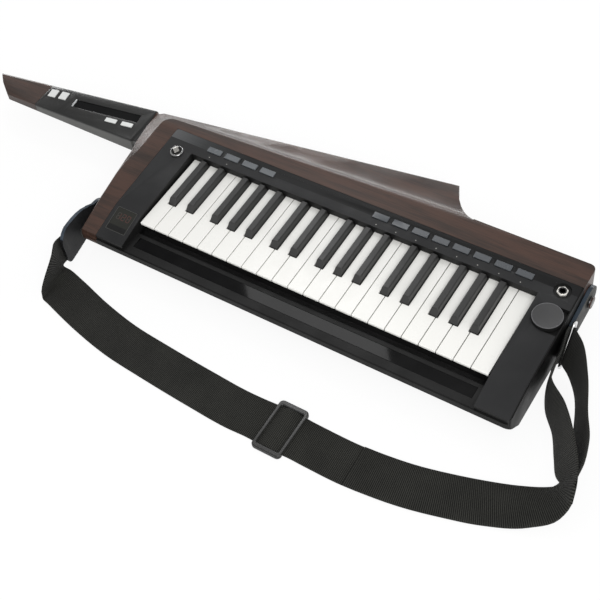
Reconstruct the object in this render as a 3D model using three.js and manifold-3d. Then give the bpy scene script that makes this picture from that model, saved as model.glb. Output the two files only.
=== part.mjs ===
// Keytar: a wooden body with a long hand neck, 37 slim keys, a touch ribbon in front of them,
// a control neck, and a webbing shoulder strap laid out in front of it.
// The instrument lies on its back. Lengths are millimetres, X runs along the keys to the
// treble end, Y to the back edge of the body, and Z up out of the keyboard face.
// Pieces are drawn from the left front top corner of the lowest white key, and the last
// group moves them so that the middle of the rest face is the origin.
import * as THREE from 'three';
import { mergeVertices } from 'three/addons/utils/BufferGeometryUtils.js';
import Module from 'manifold-3d';

const wasm = await Module();
wasm.setup();

const degrees = THREE.MathUtils.degToRad;

// Clearances and the overrun of a cutter past what it cuts
const fit = 0.3;
const overrun = 6;
const weld = 0.0004;
const sliver = 0.004;

// Keyboard
const whitePitch = 20.7;
const octaves = 3;
const whiteGap = 1;
const whitePlate = 3.6;
const whiteNoseRound = 0.9;
const keyReach = 112.5;
const blackFront = 40;
const blackWidth = 10.2;
const blackTopWidth = 6.4;
const blackHeight = 7.8;
const blackNoseSlope = 5.2;
const blackEndGap = 1.6;
const blackSlotGap = 0.9;
const keyTravel = degrees(3);
const hingeBehindWall = 33.5;
const hingeDrop = 8;
const hingeRadius = 2;
const hingeWeb = 1.2;
const keyHeel = 6;
const wellSideGap = 1.7;
const keyStopSetback = 18;
const keyStopDepth = 6;
const pedestalDepth = 8;
const pedestalGap = 2;
const pedestalShelf = 8;

// Body outline and levels; the levels are measured from the white key tops
const bodyFront = 38.5;
const backStrip = 33.2;
const cheekLeft = 64;
const leftFlare = 20.5;
const cheekRight = 41.4;
const plateauRise = 12;
const bodyBottom = 45;
const backEdgeDrop = 4;
const frontEdgeDrop = 13;
const frontWallHeight = 8;
const underChamfer = 24;
const backWallHeight = 16;
const cornerRound = 7;
const finRise = 50;
const finShare = 0.6145;
const finCurveLength = 44;
const bodyWall = 4.6;
const crestSetback = 18.8;
const crestSlope = 0.0463;
const crestRound = 15;
const leftRidge = 66.5;
const leftRidgeRun = 14.5;
const leftRidgeShare = 0.5;
const seamBackReach = 93.6;
const edgeRound = 2;

// Neck
const neckReach = 330;
const neckSlope = 0.1466;
const tipSlant = 35;
const tipBow = 2.5;
const neckFrontInset = 67.5;
const neckFrontSlope = 0.0267;
const neckDepth = 30;
const tipDepth = 15;
const neckSide = 20;
const tipSide = 8;
const neckFrontRound = 1;
const neckPlateThickness = 2.5;
const tipBlockLength = 82;

// Control panel
const panelPlate = 3;
const panelLeft = 41;
const panelRim = 1.6;
const panelFront = 36.5;
const panelFrontDrop = 6.4;
const cheekBreak = 8;
const cheekBreakRise = 4.2;
const wellBackRise = 10.2;
const wellWall = 2.6;
const wellBackClear = 1.2;
const bandGap = 10.1;
const bandFrontRise = 10.9;
const bandDepth = 16.2;
const panelCornerRound = 3;
const panelSeat = 7.3;
const panelBackSeat = 5;
const ledgeBack = 6.4;
const ledgePlate = 3;
const ledgeSkirt = 11;

// Touch ribbon in front of the keys
const ribbonSetback = 11.8;
const ribbonWidth = 14.2;
const ribbonThickness = 1;
const ribbonInset = 6;

// Panel buttons
const buttonPitch = 25.6;
const buttonLength = 19.4;
const buttonDepth = 7.6;
const buttonRise = 1.4;
const buttonInset = 11.5;
const buttonFlange = 1.2;
const buttonStem = 5;
const buttonTravel = 0.7;
const functionCount = 4;
const functionStart = 23.7;
const favouriteCount = 8;
const favouriteInset = 20.4;

// Knob, dial, jack and display
const knobReach = 20;
const knobInset = 31.8;
const knobRadius = 8.4;
const knobSkirt = 2.6;
const knobHub = 6.6;
const knobLip = 0.8;
const knobPointerHeight = 9;
const knobPointerLength = 8.6;
const knobPointerWidth = 4.2;
const knobTurn = 150;
const spindleRadius = 3;
const spindleLength = 9;
const dialInset = 19.1;
const dialBackInset = 51;
const dialRadius = 16.8;
const dialTop = 12.6;
const dialThickness = 8.6;
const dialRound = 0.8;
const dialGap = 0.5;
const dialCupWall = 2.4;
const dialNotchLength = 35;
const jackInset = 13.4;
const jackNutFlats = 13;
const jackNutHeight = 2.4;
const jackHole = 6.4;
const jackBush = 9.6;
const jackWellRadius = 10;
const jackWellDepth = 2.6;
const jackBodyWidth = 15;
const jackBodyDepth = 20;
const displayWidth = 27;
const displayLength = 30;
const displayThickness = 1.2;
const displayInset = 8;
const displayFront = 23;

// Neck controls, measured from the back corner of the neck seam along the back edge
const touchEndInset = 43.05;
const touchWidth = 13;
const touchDepth = 1.2;
const touchStart = 15;
const touchInset = 15.6;
const squareWidth = 10.8;
const squareLength = 12.8;
const squarePitch = 16.1;
const squareEndInset = 8.05;
const squareInset = 15;
const smallWidth = 16;
const smallLength = 6.4;
const smallPitch = 23.5;
const smallStart = 25.4;
const smallInset = 36;
const neckButtonRise = 1;
const neckButtonFlange = 1;
const neckButtonTravel = 0.6;

// Room inside the body, and the back cover that closes it
const cavityFrontSetback = 10.5;
const cavityBackGap = 1.5;
const cavityCeiling = 4;
const cavityBackCorner = 17;
const cavityBackFoot = 15.5;
const coverThickness = 3;
const coverLap = 3.5;
const coverSideLap = 4.5;

// Strap
const webbingWidth = 50;
const webbingThickness = 1.8;
const doubledThickness = 4.2;
const webbingLift = 0.5;
const webbingAtRing = 45;
const strapReach = 168;
const tabThickness = 4.2;
const tabStandOff = 0.6;
const leftTabGap = 8;
const leftTabShare = 0.38095;
const tabFrontRound = 17;
const tabFootRound = 5;
const tabBulge = degrees(8);
const tabBulgeLead = 0.6;
const leftTabEndRound = 14;
const tabHeight = 47;
const tabEndRound = 19;
const leftPinSetback = 5;
const pinDrop = 19.5;
const rightPinInset = 25;
const foldRadius = 4.1;
const foldLength = 38;
const buckleLength = 39;
const buckleWidth = 64;
const buckleBar = 6;
const buckleThickness = 3;
const buckleRound = 5;
const ringRod = 3.4;
const ringSpan = 8.6;
const ringRound = 3;
const ringLength = 50;
const ringStandOff = 7;
const ringSetback = 83;
const ringDrop = 20.4;
const ringLean = degrees(37);
const pinNeck = 3.2;
const pinHead = 7;
const pinHeadThickness = 3;
const pinShank = 5.4;

// Places and levels worked out from the driving sizes
const whitesPerOctave = 7;
const whiteCount = octaves * whitesPerOctave + 1;
const keyboardWidth = whiteCount * whitePitch;
const wellLeft = -wellSideGap;
const wellRight = keyboardWidth + wellSideGap;
const bodyRight = wellRight + cheekRight;
const panelRight = bodyRight - panelRim;
const floorZ = -bodyBottom - coverThickness;
const standHeight = bodyBottom + coverThickness;
const hingeY = keyReach + hingeBehindWall;
const keyEnd = hingeY + keyHeel;
const bandFront = keyReach + bandGap;
const panelBack = bandFront + bandDepth;
const bodyBack = panelBack + backStrip;
const neckFrontSetback = bodyBack - neckFrontInset;
const leftRidgeFull = neckFrontSetback - leftRidgeRun;
const leftRidgeStart = leftRidgeFull * leftRidgeShare;
const buttonSetback = panelBack - buttonInset;
const knobSetback = panelBack - knobInset;
const dialSetback = panelBack - dialBackInset;
const jackSetback = panelBack - jackInset;
const rightPinSetback = bodyBack - rightPinInset;
const neckPlateReach = neckReach - tipBlockLength;
const finX = finShare * bodyRight;
const finY = bodyBack + finRise;
const bandSlope = (plateauRise - bandFrontRise) / (panelBack - bandFront);
const bandTilt = Math.atan(bandSlope);
const neckTurn = Math.atan(neckSlope);
const neckPlateLength = (neckPlateReach - seamBackReach) / Math.cos(neckTurn);
const touchLength = neckPlateLength - touchStart - touchEndInset;
const squareStart = neckPlateLength - squarePitch - squareEndInset;
const dialX = bodyRight - dialInset;
const chamferInside = bodyWall * Math.SQRT2 - frontEdgeDrop - frontWallHeight;
const coverFront = bodyBottom + chamferInside - bodyFront;
const coverBack = keyEnd + cavityBackGap - cavityBackFoot;

// Back edge of the neck and body, one straight line seen from above
function backEdge(x) {
  return finY - neckSlope * (finX - x);
}

// Front edge of the neck
function neckFront(x) {
  return neckFrontSetback + neckFrontSlope * (x + cheekLeft + leftFlare);
}

// Level of the top face over the keyboard's depth
const topLevels = [
  [-panelFront, -panelFrontDrop],
  [cheekBreak, cheekBreakRise],
  [keyReach, wellBackRise],
  [bandFront, bandFrontRise],
  [panelBack, plateauRise],
];

function topLevel(y) {
  const last = topLevels[topLevels.length - 1];
  if (y >= last[0]) return last[1];
  let k = 0;
  while (k < topLevels.length - 2 && y > topLevels[k + 1][0]) k += 1;
  const [y0, z0] = topLevels[k];
  const [y1, z1] = topLevels[k + 1];
  return z0 + (z1 - z0) * (y - y0) / (y1 - y0);
}

// Materials
function material(color, roughness, metalness) {
  return new THREE.MeshStandardMaterial({ color, roughness, metalness });
}

const materials = {
  wood: material(0x4a3a34, 0.45, 0),
  panel: material(0x26272a, 0.5, 0),
  cover: material(0x1b1b1c, 0.6, 0),
  neckPlate: material(0x34363a, 0.4, 0.4),
  whiteKey: material(0xefeee9, 0.35, 0),
  blackKey: material(0x2c2c2d, 0.55, 0),
  smokedCap: material(0x59616b, 0.4, 0),
  whiteCap: material(0xd5d6d4, 0.4, 0),
  touch: material(0x0e0e10, 0.15, 0),
  glass: material(0x16130f, 0.1, 0),
  chrome: material(0xc9c9c9, 0.2, 1),
  dial: material(0x424347, 0.5, 0),
  webbing: material(0x1f1e1c, 0.9, 0),
  leather: material(0x1c2026, 0.6, 0),
  buckle: material(0x3a3a3a, 0.5, 0),
};

// Solids from geometries
function solidOf(geometry) {
  const bare = geometry.index ? geometry.clone() : geometry;
  bare.deleteAttribute('normal');
  bare.deleteAttribute('uv');
  const merged = mergeVertices(bare, weld);
  const mesh = new wasm.Mesh({
    numProp: 3,
    vertProperties: new Float32Array(merged.attributes.position.array),
    triVerts: new Uint32Array(merged.index.array),
  });
  return new wasm.Manifold(mesh);
}

function geometryOf(solid) {
  const mesh = solid.getMesh();
  const geometry = new THREE.BufferGeometry();
  geometry.setAttribute('position', new THREE.BufferAttribute(mesh.vertProperties, 3));
  geometry.setIndex(new THREE.BufferAttribute(mesh.triVerts, 1));
  return geometry;
}

function shapeOf(points) {
  return new THREE.Shape(points.map(([a, b]) => new THREE.Vector2(a, b)));
}

// Plan outline in (x, y), drawn up from bottom to top
function plan(points, bottom, top) {
  const options = { depth: top - bottom, bevelEnabled: false };
  const geometry = new THREE.ExtrudeGeometry(shapeOf(points), options);
  return solidOf(geometry.translate(0, 0, bottom));
}

// Side profile in (y, z), drawn along X from left to right
const alongX = new THREE.Matrix4().makeBasis(
  new THREE.Vector3(0, 1, 0),
  new THREE.Vector3(0, 0, 1),
  new THREE.Vector3(1, 0, 0),
);

function profile(points, left, right) {
  const options = { depth: right - left, bevelEnabled: false };
  const geometry = new THREE.ExtrudeGeometry(shapeOf(points), options);
  geometry.applyMatrix4(alongX);
  return solidOf(geometry.translate(left, 0, 0));
}

function block(left, right, front, back, bottom, top) {
  const geometry = new THREE.BoxGeometry(right - left, back - front, top - bottom);
  return solidOf(geometry.translate((left + right) / 2, (front + back) / 2, (bottom + top) / 2));
}

// Upright round bar
function post(x, y, bottom, top, radius, sides = 24) {
  const geometry = new THREE.CylinderGeometry(radius, radius, top - bottom, sides);
  geometry.rotateX(Math.PI / 2);
  return solidOf(geometry.translate(x, y, (bottom + top) / 2));
}

// Turned form about an upright axis, from a profile of [radius, height]
function turned(points, sides) {
  const outline = points.map(([r, z]) => new THREE.Vector2(r, z));
  const geometry = new THREE.LatheGeometry(outline, sides);
  geometry.rotateX(Math.PI / 2);
  return solidOf(geometry);
}

// Skin over rings of points, closed at both ends or run round into itself
function loft(rings, endless = false) {
  const count = rings[0].length;
  const faces = [];
  const spans = endless ? rings.length : rings.length - 1;
  for (let k = 0; k < spans; k += 1) {
    const next = ((k + 1) % rings.length) * count;
    for (let i = 0; i < count; i += 1) {
      const j = (i + 1) % count;
      const a = k * count + i;
      const b = k * count + j;
      faces.push([a, b, next + j], [a, next + j, next + i]);
    }
  }
  if (!endless) {
    const end = (rings.length - 1) * count;
    for (const [a, b, c] of THREE.ShapeUtils.triangulateShape(capOutline(rings[0]), [])) {
      faces.push([c, b, a], [a + end, b + end, c + end]);
    }
  }
  const positions = rings.flat().flatMap((p) => [p.x, p.y, p.z]);
  const inward = signedVolume(positions, faces) < 0;
  const index = faces.flatMap(([a, b, c]) => (inward ? [a, c, b] : [a, b, c]));
  const geometry = new THREE.BufferGeometry();
  geometry.setAttribute('position', new THREE.Float32BufferAttribute(positions, 3));
  geometry.setIndex(index);
  return solidOf(geometry);
}

// A ring of points laid flat in its own plane
function capOutline(ring) {
  const origin = ring[0];
  const across = ring[1].clone().sub(origin).normalize();
  const normal = new THREE.Vector3();
  for (let i = 1; i + 1 < ring.length; i += 1) {
    const a = ring[i].clone().sub(origin);
    const b = ring[i + 1].clone().sub(origin);
    normal.add(a.cross(b));
  }
  const up = normal.normalize().cross(across);
  return ring.map((p) => {
    const d = p.clone().sub(origin);
    return new THREE.Vector2(d.dot(across), d.dot(up));
  });
}

function signedVolume(positions, faces) {
  const point = (i) => new THREE.Vector3().fromArray(positions, 3 * i);
  let sum = 0;
  for (const [a, b, c] of faces) sum += point(a).dot(point(b).cross(point(c)));
  return sum;
}

function joined(solids) {
  return solids.reduce((all, solid) => all.add(solid));
}

function piece(name, solid, finish) {
  const mesh = new THREE.Mesh(geometryOf(solid.simplify(sliver)), finish);
  mesh.name = name;
  return mesh;
}

// Points of an arc from one angle to another
function arc(cx, cy, radius, from, to, steps) {
  const points = [];
  for (let k = 0; k <= steps; k += 1) {
    const angle = from + (to - from) * k / steps;
    points.push([cx + radius * Math.cos(angle), cy + radius * Math.sin(angle)]);
  }
  return points;
}

// White keys: a flat plate with slots for the black keys and a heel that sits on the hinge
const blackOffsetShares = [-0.12, 0.12, -0.175, 0, 0.175];
const blackAfter = [0, 1, 3, 4, 5];

function blackCentres() {
  const centres = [];
  for (let octave = 0; octave < octaves; octave += 1) {
    blackAfter.forEach((white, k) => {
      const boundary = (octave * whitesPerOctave + white + 1) * whitePitch;
      centres.push(boundary + blackOffsetShares[k] * whitePitch);
    });
  }
  return centres;
}

// Heel of any key: it rests astride the hinge bar
function heelProfile(start, top) {
  const seat = hingeRadius + fit;
  const notch = arc(hingeY, -hingeDrop, seat, Math.PI, 0, 8);
  return [
    [start, -whitePlate],
    [hingeY - keyHeel - seat, -whitePlate],
    [hingeY - keyHeel, -hingeDrop],
    ...notch,
    [keyEnd, -hingeDrop],
    [keyEnd, top],
    [start, top],
  ];
}

function whiteKeySolid(index) {
  const left = index * whitePitch + whiteGap / 2;
  const right = (index + 1) * whitePitch - whiteGap / 2;
  const nose = [
    [whiteNoseRound, 0],
    [0, -whiteNoseRound],
    [0, -whitePlate],
  ];
  const side = [...nose, ...heelProfile(overrun, 0).slice(1)];
  const slots = blackCentres()
    .filter((centre) => Math.abs(centre - (left + right) / 2) < whitePitch)
    .map((centre) => {
      const half = blackWidth / 2 + blackSlotGap;
      const front = blackFront - blackSlotGap;
      const back = keyEnd + overrun;
      return block(centre - half, centre + half, front, back, -hingeDrop - overrun, overrun);
    });
  return slots.reduce((key, slot) => key.subtract(slot), profile(side, left, right));
}

// Black keys: a raised block with sloping sides and nose on the same kind of tail
function blackKeySolid(centre) {
  const half = blackWidth / 2;
  const topHalf = blackTopWidth / 2;
  const back = keyReach - blackEndGap;
  const ring = (spread, front, z) => [
    new THREE.Vector3(centre - spread, front, z),
    new THREE.Vector3(centre + spread, front, z),
    new THREE.Vector3(centre + spread, back, z),
    new THREE.Vector3(centre - spread, back, z),
  ];
  const topFront = blackFront + blackNoseSlope;
  const raised = loft([
    ring(half, blackFront, -whitePlate),
    ring(half, blackFront, 0),
    ring(topHalf + blackSlotGap, topFront - blackSlotGap, blackHeight - blackSlotGap),
    ring(topHalf, topFront, blackHeight),
  ]);
  const tail = profile(heelProfile(back - blackSlotGap, 0), centre - half, centre + half);
  return raised.add(tail);
}

function keyboard() {
  const keys = [];
  for (let index = 0; index < whiteCount; index += 1) {
    keys.push(piece(`white_key_${index + 1}`, whiteKeySolid(index), materials.whiteKey));
  }
  blackCentres().forEach((centre, k) => {
    keys.push(piece(`black_key_${k + 1}`, blackKeySolid(centre), materials.blackKey));
  });
  return keys;
}

// Wooden body: outline and side profile crossed, then sloped, cut and joined to the neck
function leftWall(y) {
  const along = (y + bodyFront) / (neckFrontSetback + bodyFront);
  return -cheekLeft - leftFlare * along * Math.abs(along);
}

function bodyOutline() {
  const quarter = Math.PI / 2;
  const r = cornerRound;
  const frontCorner = arc(bodyRight - r, -bodyFront + r, r, -quarter, 0, 4);
  const backCorner = arc(bodyRight - r, bodyBack - r, r, 0, quarter, 4);
  const curve = new THREE.QuadraticBezierCurve(
    new THREE.Vector2(finX + finCurveLength, bodyBack),
    new THREE.Vector2(finX + finCurveLength / 3, bodyBack + finRise / 4),
    new THREE.Vector2(finX, finY),
  );
  const fin = curve.getPoints(6).map((p) => [p.x, p.y]);
  const wall = [];
  const steps = 6;
  for (let k = 0; k < steps; k += 1) {
    const y = neckFrontSetback - (neckFrontSetback + bodyFront) * k / steps;
    wall.push([leftWall(y), y]);
  }
  return [
    [-cheekLeft, -bodyFront],
    ...frontCorner,
    ...backCorner,
    ...fin,
    [-seamBackReach, backEdge(-seamBackReach)],
    ...wall,
  ];
}

function bodyProfile() {
  const wallFoot = -frontEdgeDrop - frontWallHeight;
  const back = finY + overrun;
  return [
    [-bodyFront, wallFoot],
    [-bodyFront, -frontEdgeDrop],
    ...topLevels,
    [back, plateauRise],
    [back, -bodyBottom],
    [-bodyFront + underChamfer, -bodyBottom],
  ];
}

// Crest line behind the panel
function crestBack(x) {
  return bodyBack - crestSetback + crestSlope * x;
}

// Seam between the neck and the body
function seamLine(y) {
  const back = backEdge(-seamBackReach);
  const share = (y - neckFrontSetback) / (back - neckFrontSetback);
  return THREE.MathUtils.lerp(-cheekLeft - leftFlare, -seamBackReach, share);
}

// Stations along the crest, each with its place on the outer edge and the edge's level
function crestStations() {
  const cornerX = -leftRidge + crestRound;
  const cornerY = crestBack(cornerX) - crestRound;
  const backCorner = [-seamBackReach, backEdge(-seamBackReach)];
  const middle = (leftRidgeStart + leftRidgeFull) / 2;
  const fixed = [-bodyFront - overrun, leftRidgeStart, middle, leftRidgeFull, neckFrontSetback];
  const levels = topLevels.map(([y]) => y).filter((y) => y < cornerY);
  const stations = [...fixed, ...levels].sort((a, b) => a - b).map((y) => {
    const fade = THREE.MathUtils.clamp((y - leftRidgeStart) / (leftRidgeFull - leftRidgeStart), 0, 1);
    const wall = y > neckFrontSetback ? seamLine(y) : leftWall(y);
    const crest = THREE.MathUtils.lerp(wall + edgeRound, -leftRidge, fade);
    const high = topLevel(y);
    return { crest: [crest, y], edge: [wall, y], high, low: (high - edgeRound) * (1 - fade), round: 0 };
  });
  const steps = 5;
  for (let k = 0; k <= steps; k += 1) {
    const share = k / steps;
    const angle = Math.PI * (1 - share / 2);
    const crest = [cornerX + crestRound * Math.cos(angle), cornerY + crestRound * Math.sin(angle)];
    const y = THREE.MathUtils.lerp(cornerY, backCorner[1], Math.min(1, 2 * share));
    const x = THREE.MathUtils.lerp(-seamBackReach, cornerX, Math.max(0, 2 * share - 1));
    const edge = share < 1 / 2 ? [seamLine(y), y] : [x, backEdge(x)];
    const low = -backEdgeDrop * Math.min(1, 2 * share);
    stations.push({ crest, edge, high: topLevel(crest[1]), low, round: share });
  }
  const far = finX + finCurveLength;
  for (let k = 1; k <= steps; k += 1) {
    const x = THREE.MathUtils.lerp(cornerX, far, k / steps);
    const crest = [x, crestBack(x)];
    stations.push({ crest, edge: [x, backEdge(x)], high: plateauRise, low: -backEdgeDrop, round: 1 });
  }
  return stations;
}

// Cutter that leaves the slopes between the crest and the outer edge
function slopeCutter() {
  const top = plateauRise + overrun;
  return loft(crestStations().map(({ crest, edge, high, low, round }) => {
    const run = Math.hypot(edge[0] - crest[0], edge[1] - crest[1]);
    const slope = (high - low) / run;
    const steep = slope + round / 2;
    const near = Math.min(edgeRound, run / 4);
    const at = (distance, level) => {
      const share = distance / run;
      const x = THREE.MathUtils.lerp(crest[0], edge[0], share);
      return new THREE.Vector3(x, THREE.MathUtils.lerp(crest[1], edge[1], share), level);
    };
    return [
      at(-near / 2, high + slope * near / 2),
      at(near, high - slope * near),
      at(run - near, low + steep * near),
      at(run + overrun, low - steep * overrun),
      at(run + overrun, top),
      at(-near / 2, top),
    ];
  }));
}

// Cutter for the sloping underside along the back edge
function backUndersideCutter() {
  const length = 2 * (finX + finCurveLength + seamBackReach);
  const foot = bodyBottom + overrun;
  const wall = backEdgeDrop + backWallHeight;
  const outline = [
    [0, -wall],
    [overrun, -wall + overrun],
    [overrun, -foot],
    [wall - foot, -foot],
  ];
  const wedge = profile(outline, -length / 2, length / 2);
  return wedge.rotate(0, 0, THREE.MathUtils.radToDeg(neckTurn)).translate(finX, finY, 0);
}

function neckSection(x, inset) {
  const share = (x + neckReach) / (neckReach - seamBackReach);
  const depth = THREE.MathUtils.lerp(tipDepth, neckDepth, share);
  const side = THREE.MathUtils.lerp(tipSide, neckSide, share);
  const front = neckFront(x) + inset;
  const back = backEdge(x) - inset;
  const lean = depth - side;
  const points = [
    [front, -neckFrontRound - inset],
    [front, -side],
    [front + lean, -depth + inset],
    [back - lean, -depth + inset],
    [back, -side],
    [back, -backEdgeDrop - inset],
    [back - backEdgeDrop / 3, -backEdgeDrop / 3 - inset],
    [back - backEdgeDrop, -inset],
    [front + neckFrontRound, -inset],
  ];
  return points.map(([y, z]) => new THREE.Vector3(x, y, z));
}

// The whole neck before its plate is let in; it is rooted in the body past the seam
function neckSolid() {
  const rings = [];
  const steps = 4;
  const start = -neckReach - overrun;
  for (let k = 0; k <= steps; k += 1) {
    rings.push(neckSection(start + (-seamBackReach - start) * k / steps, 0));
  }
  rings.push(neckSection(-seamBackReach + tipBow, edgeRound));
  rings.push(neckSection(-cheekLeft, edgeRound));
  const slant = neckReach - tipSlant;
  const middle = (neckReach + slant) / 2 + tipBow;
  const frontTip = [-slant, neckFront(-slant)];
  const backTip = [-neckReach, backEdge(-neckReach)];
  const outline = [
    [-slant, neckFront(-slant) - overrun],
    frontTip,
    [-middle, (frontTip[1] + backTip[1]) / 2],
    backTip,
    [-neckReach, backTip[1] + overrun],
    [0, finY],
    [0, neckFrontSetback - overrun],
  ];
  return loft(rings).intersect(plan(outline, -bodyBottom, overrun));
}

// Outline of the neck plate: between the tip block and the body seam
function neckPlateOutline(margin) {
  const left = -neckPlateReach - margin;
  const back = backEdge(-seamBackReach);
  const seamShift = fit - margin;
  return [
    [left, neckFront(left) - overrun],
    [-cheekLeft - leftFlare - seamShift, neckFrontSetback - overrun],
    [-cheekLeft - leftFlare - seamShift, neckFrontSetback],
    [-seamBackReach - seamShift, back],
    [-seamBackReach - seamShift, back + overrun],
    [left, backEdge(left) + overrun],
  ];
}

// Place on the neck, measured from the back corner of the seam along the back edge
function neckPlace(along, inset) {
  const length = -seamBackReach - along * Math.cos(neckTurn) + inset * Math.sin(neckTurn);
  const depth = backEdge(-seamBackReach) - along * Math.sin(neckTurn);
  return [length, depth - inset * Math.cos(neckTurn)];
}

function onNeck(solid, along, inset) {
  const [x, y] = neckPlace(along, inset);
  return solid.rotate(0, 0, THREE.MathUtils.radToDeg(neckTurn)).translate(x, y, 0);
}

const squareButtons = [0, 1].map((k) => [squareStart + k * squarePitch, squareInset]);
const smallButtons = [0, 1].map((k) => [smallStart + k * smallPitch, smallInset]);
const neckButtons = [
  ...squareButtons.map((place) => ({ place, size: [squareWidth, squareLength] })),
  ...smallButtons.map((place) => ({ place, size: [smallWidth, smallLength] })),
];

function centredBlock(size, margin, bottom, top) {
  const halfWidth = size[0] / 2 + margin;
  const halfDepth = size[1] / 2 + margin;
  return block(-halfWidth, halfWidth, -halfDepth, halfDepth, bottom, top);
}

const neckFlangeTop = -neckPlateThickness - fit;
const neckFlangeBottom = neckFlangeTop - neckButtonFlange;
const neckPocketFloor = neckFlangeBottom - neckButtonTravel - fit;

function neckPanelSolid() {
  const outline = plan(neckPlateOutline(0), -neckPlateThickness, overrun);
  let plate = neckSolid().intersect(outline);
  for (const { place, size } of neckButtons) {
    const hole = centredBlock(size, fit, -neckPlateThickness - overrun, overrun);
    plate = plate.subtract(onNeck(hole, place[0], place[1]));
  }
  const recess = centredBlock([touchLength, touchWidth], 0, -touchDepth, overrun);
  const middle = touchStart + touchLength / 2;
  return plate.subtract(onNeck(recess, middle, touchInset + touchWidth / 2));
}

function neckButtonSolids() {
  return neckButtons.map(({ place, size }) => {
    const cap = centredBlock(size, 0, neckFlangeBottom, neckButtonRise);
    const flange = centredBlock(size, neckButtonFlange, neckFlangeBottom, neckFlangeTop);
    return onNeck(cap.add(flange), place[0], place[1]);
  });
}

function neckPockets() {
  const clear = neckButtonFlange + fit;
  return neckButtons.map(({ place, size }) => {
    return onNeck(centredBlock(size, clear, neckPocketFloor, overrun), place[0], place[1]);
  });
}

// Room for the keys and the chassis, open at the top and at the bottom
function cavity() {
  const back = keyEnd + cavityBackGap;
  const front = -bodyFront + cavityFrontSetback;
  const seatBack = panelBack - panelBackSeat;
  const outline = [
    [front, plateauRise + overrun],
    [front, chamferInside - cavityFrontSetback],
    [coverFront, -bodyBottom],
    [coverFront, -bodyBottom - overrun],
    [coverBack, -bodyBottom - overrun],
    [coverBack, -bodyBottom],
    [back, -bodyBottom + cavityBackCorner],
    [back, cavityCeiling],
    [seatBack, cavityCeiling],
    [seatBack, plateauRise + overrun],
  ];
  return profile(outline, -panelLeft + panelSeat, panelRight - panelSeat);
}

function panelOutline(margin) {
  const r = panelCornerRound;
  const left = -panelLeft - margin;
  const right = panelRight + margin;
  const back = panelBack + margin;
  const quarter = Math.PI / 2;
  return [
    [left, -panelFront - margin],
    [right, -panelFront - margin],
    ...arc(right - r, back - r, r, 0, quarter, 3),
    ...arc(left + r, back - r, r, quarter, 2 * quarter, 3),
  ];
}

// Band of the panel's height profile, from a depth below the top face up to a level above
function sheet(depth, rise) {
  const under = topLevels.map(([y, z]) => [y, z - depth]);
  const over = topLevels.map(([y, z]) => [y, z + rise]);
  const first = under[0];
  const last = under[under.length - 1];
  const outline = [
    [first[0] - overrun, first[1]],
    ...under,
    [last[0] + overrun, last[1]],
    [last[0] + overrun, over[over.length - 1][1]],
    ...over.reverse(),
    [first[0] - overrun, over[over.length - 1][1]],
  ];
  return profile(outline, -panelLeft - overrun, panelRight + overrun);
}

const dialFloor = dialTop - dialThickness - fit;
const dialClear = dialRadius + dialGap;
const jackX = dialX;
const jackTop = topLevel(jackSetback);
const jackFloor = jackTop - jackWellDepth;

function dialRecess(margin, bottom, top) {
  const round = post(dialX, dialSetback, bottom, top, dialClear + margin, 48);
  const half = dialNotchLength / 2 + margin;
  const front = dialSetback - half;
  const notch = block(dialX, panelRight + overrun, front, dialSetback + half, bottom, top);
  return round.add(notch);
}

function panelSeatCutter() {
  const seat = sheet(panelPlate + fit, overrun * 4);
  const room = plan(panelOutline(fit), -bodyBottom, plateauRise + overrun).intersect(seat);
  const left = -panelLeft - fit;
  const right = panelRight + fit;
  const ledge = -frontEdgeDrop - ledgePlate - fit;
  const front = -panelFront - fit;
  const inner = -bodyFront + cavityFrontSetback + fit;
  const underLedge = block(left, right, front, inner, ledge, plateauRise + overrun);
  const step = block(left, right, front - overrun, front + fit, -frontEdgeDrop, overrun);
  const cupFloor = dialFloor - dialCupWall - fit;
  const limit = plan(panelOutline(fit), cupFloor, plateauRise + overrun);
  const cup = dialRecess(dialCupWall + fit, cupFloor, plateauRise + overrun).intersect(limit);
  const jackRoom = jackWellRadius + dialCupWall + fit;
  const jackFoot = jackFloor - dialCupWall - fit;
  const well = post(jackX, jackSetback, jackFoot, plateauRise + overrun, jackRoom, 32);
  return joined([room, underLedge, step, cup, well.intersect(limit)]);
}

// Strap pins are screwed into the two end walls
const leftTabFace = -cheekLeft - leftTabGap;
const leftTabFront = leftTabShare * strapReach;
const rightTabFace = bodyRight + tabStandOff;

function pinSolid(root, face, side) {
  const outer = face + side * (tabThickness + tabStandOff);
  const bar = (from, to, radius) => {
    const length = Math.abs(to - from);
    const geometry = new THREE.CylinderGeometry(radius, radius, length, 24);
    geometry.rotateZ(Math.PI / 2);
    return solidOf(geometry.translate((from + to) / 2, 0, 0));
  };
  const neck = bar(root, outer + side * pinHeadThickness / 2, pinNeck);
  const head = bar(outer, outer + side * pinHeadThickness, pinHead);
  return neck.add(head);
}

function bodyShellSolid() {
  const block0 = plan(bodyOutline(), -bodyBottom, plateauRise);
  let body = block0.intersect(profile(bodyProfile(), -neckReach, bodyRight + overrun));
  body = body.subtract(slopeCutter()).subtract(backUndersideCutter());
  body = body.subtract(cavity()).subtract(panelSeatCutter());
  const seat = plan(neckPlateOutline(fit), -neckPlateThickness - fit, overrun);
  let neck = neckSolid().subtract(seat);
  for (const pocket of neckPockets()) neck = neck.subtract(pocket);
  const leftPin = pinSolid(-cheekLeft + overrun / 3, leftTabFace, -1);
  const rightPin = pinSolid(bodyRight - overrun, rightTabFace, 1);
  return joined([
    body,
    neck,
    leftPin.translate(0, leftPinSetback, -pinDrop),
    rightPin.translate(0, rightPinSetback, -pinDrop),
  ]);
}

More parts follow.
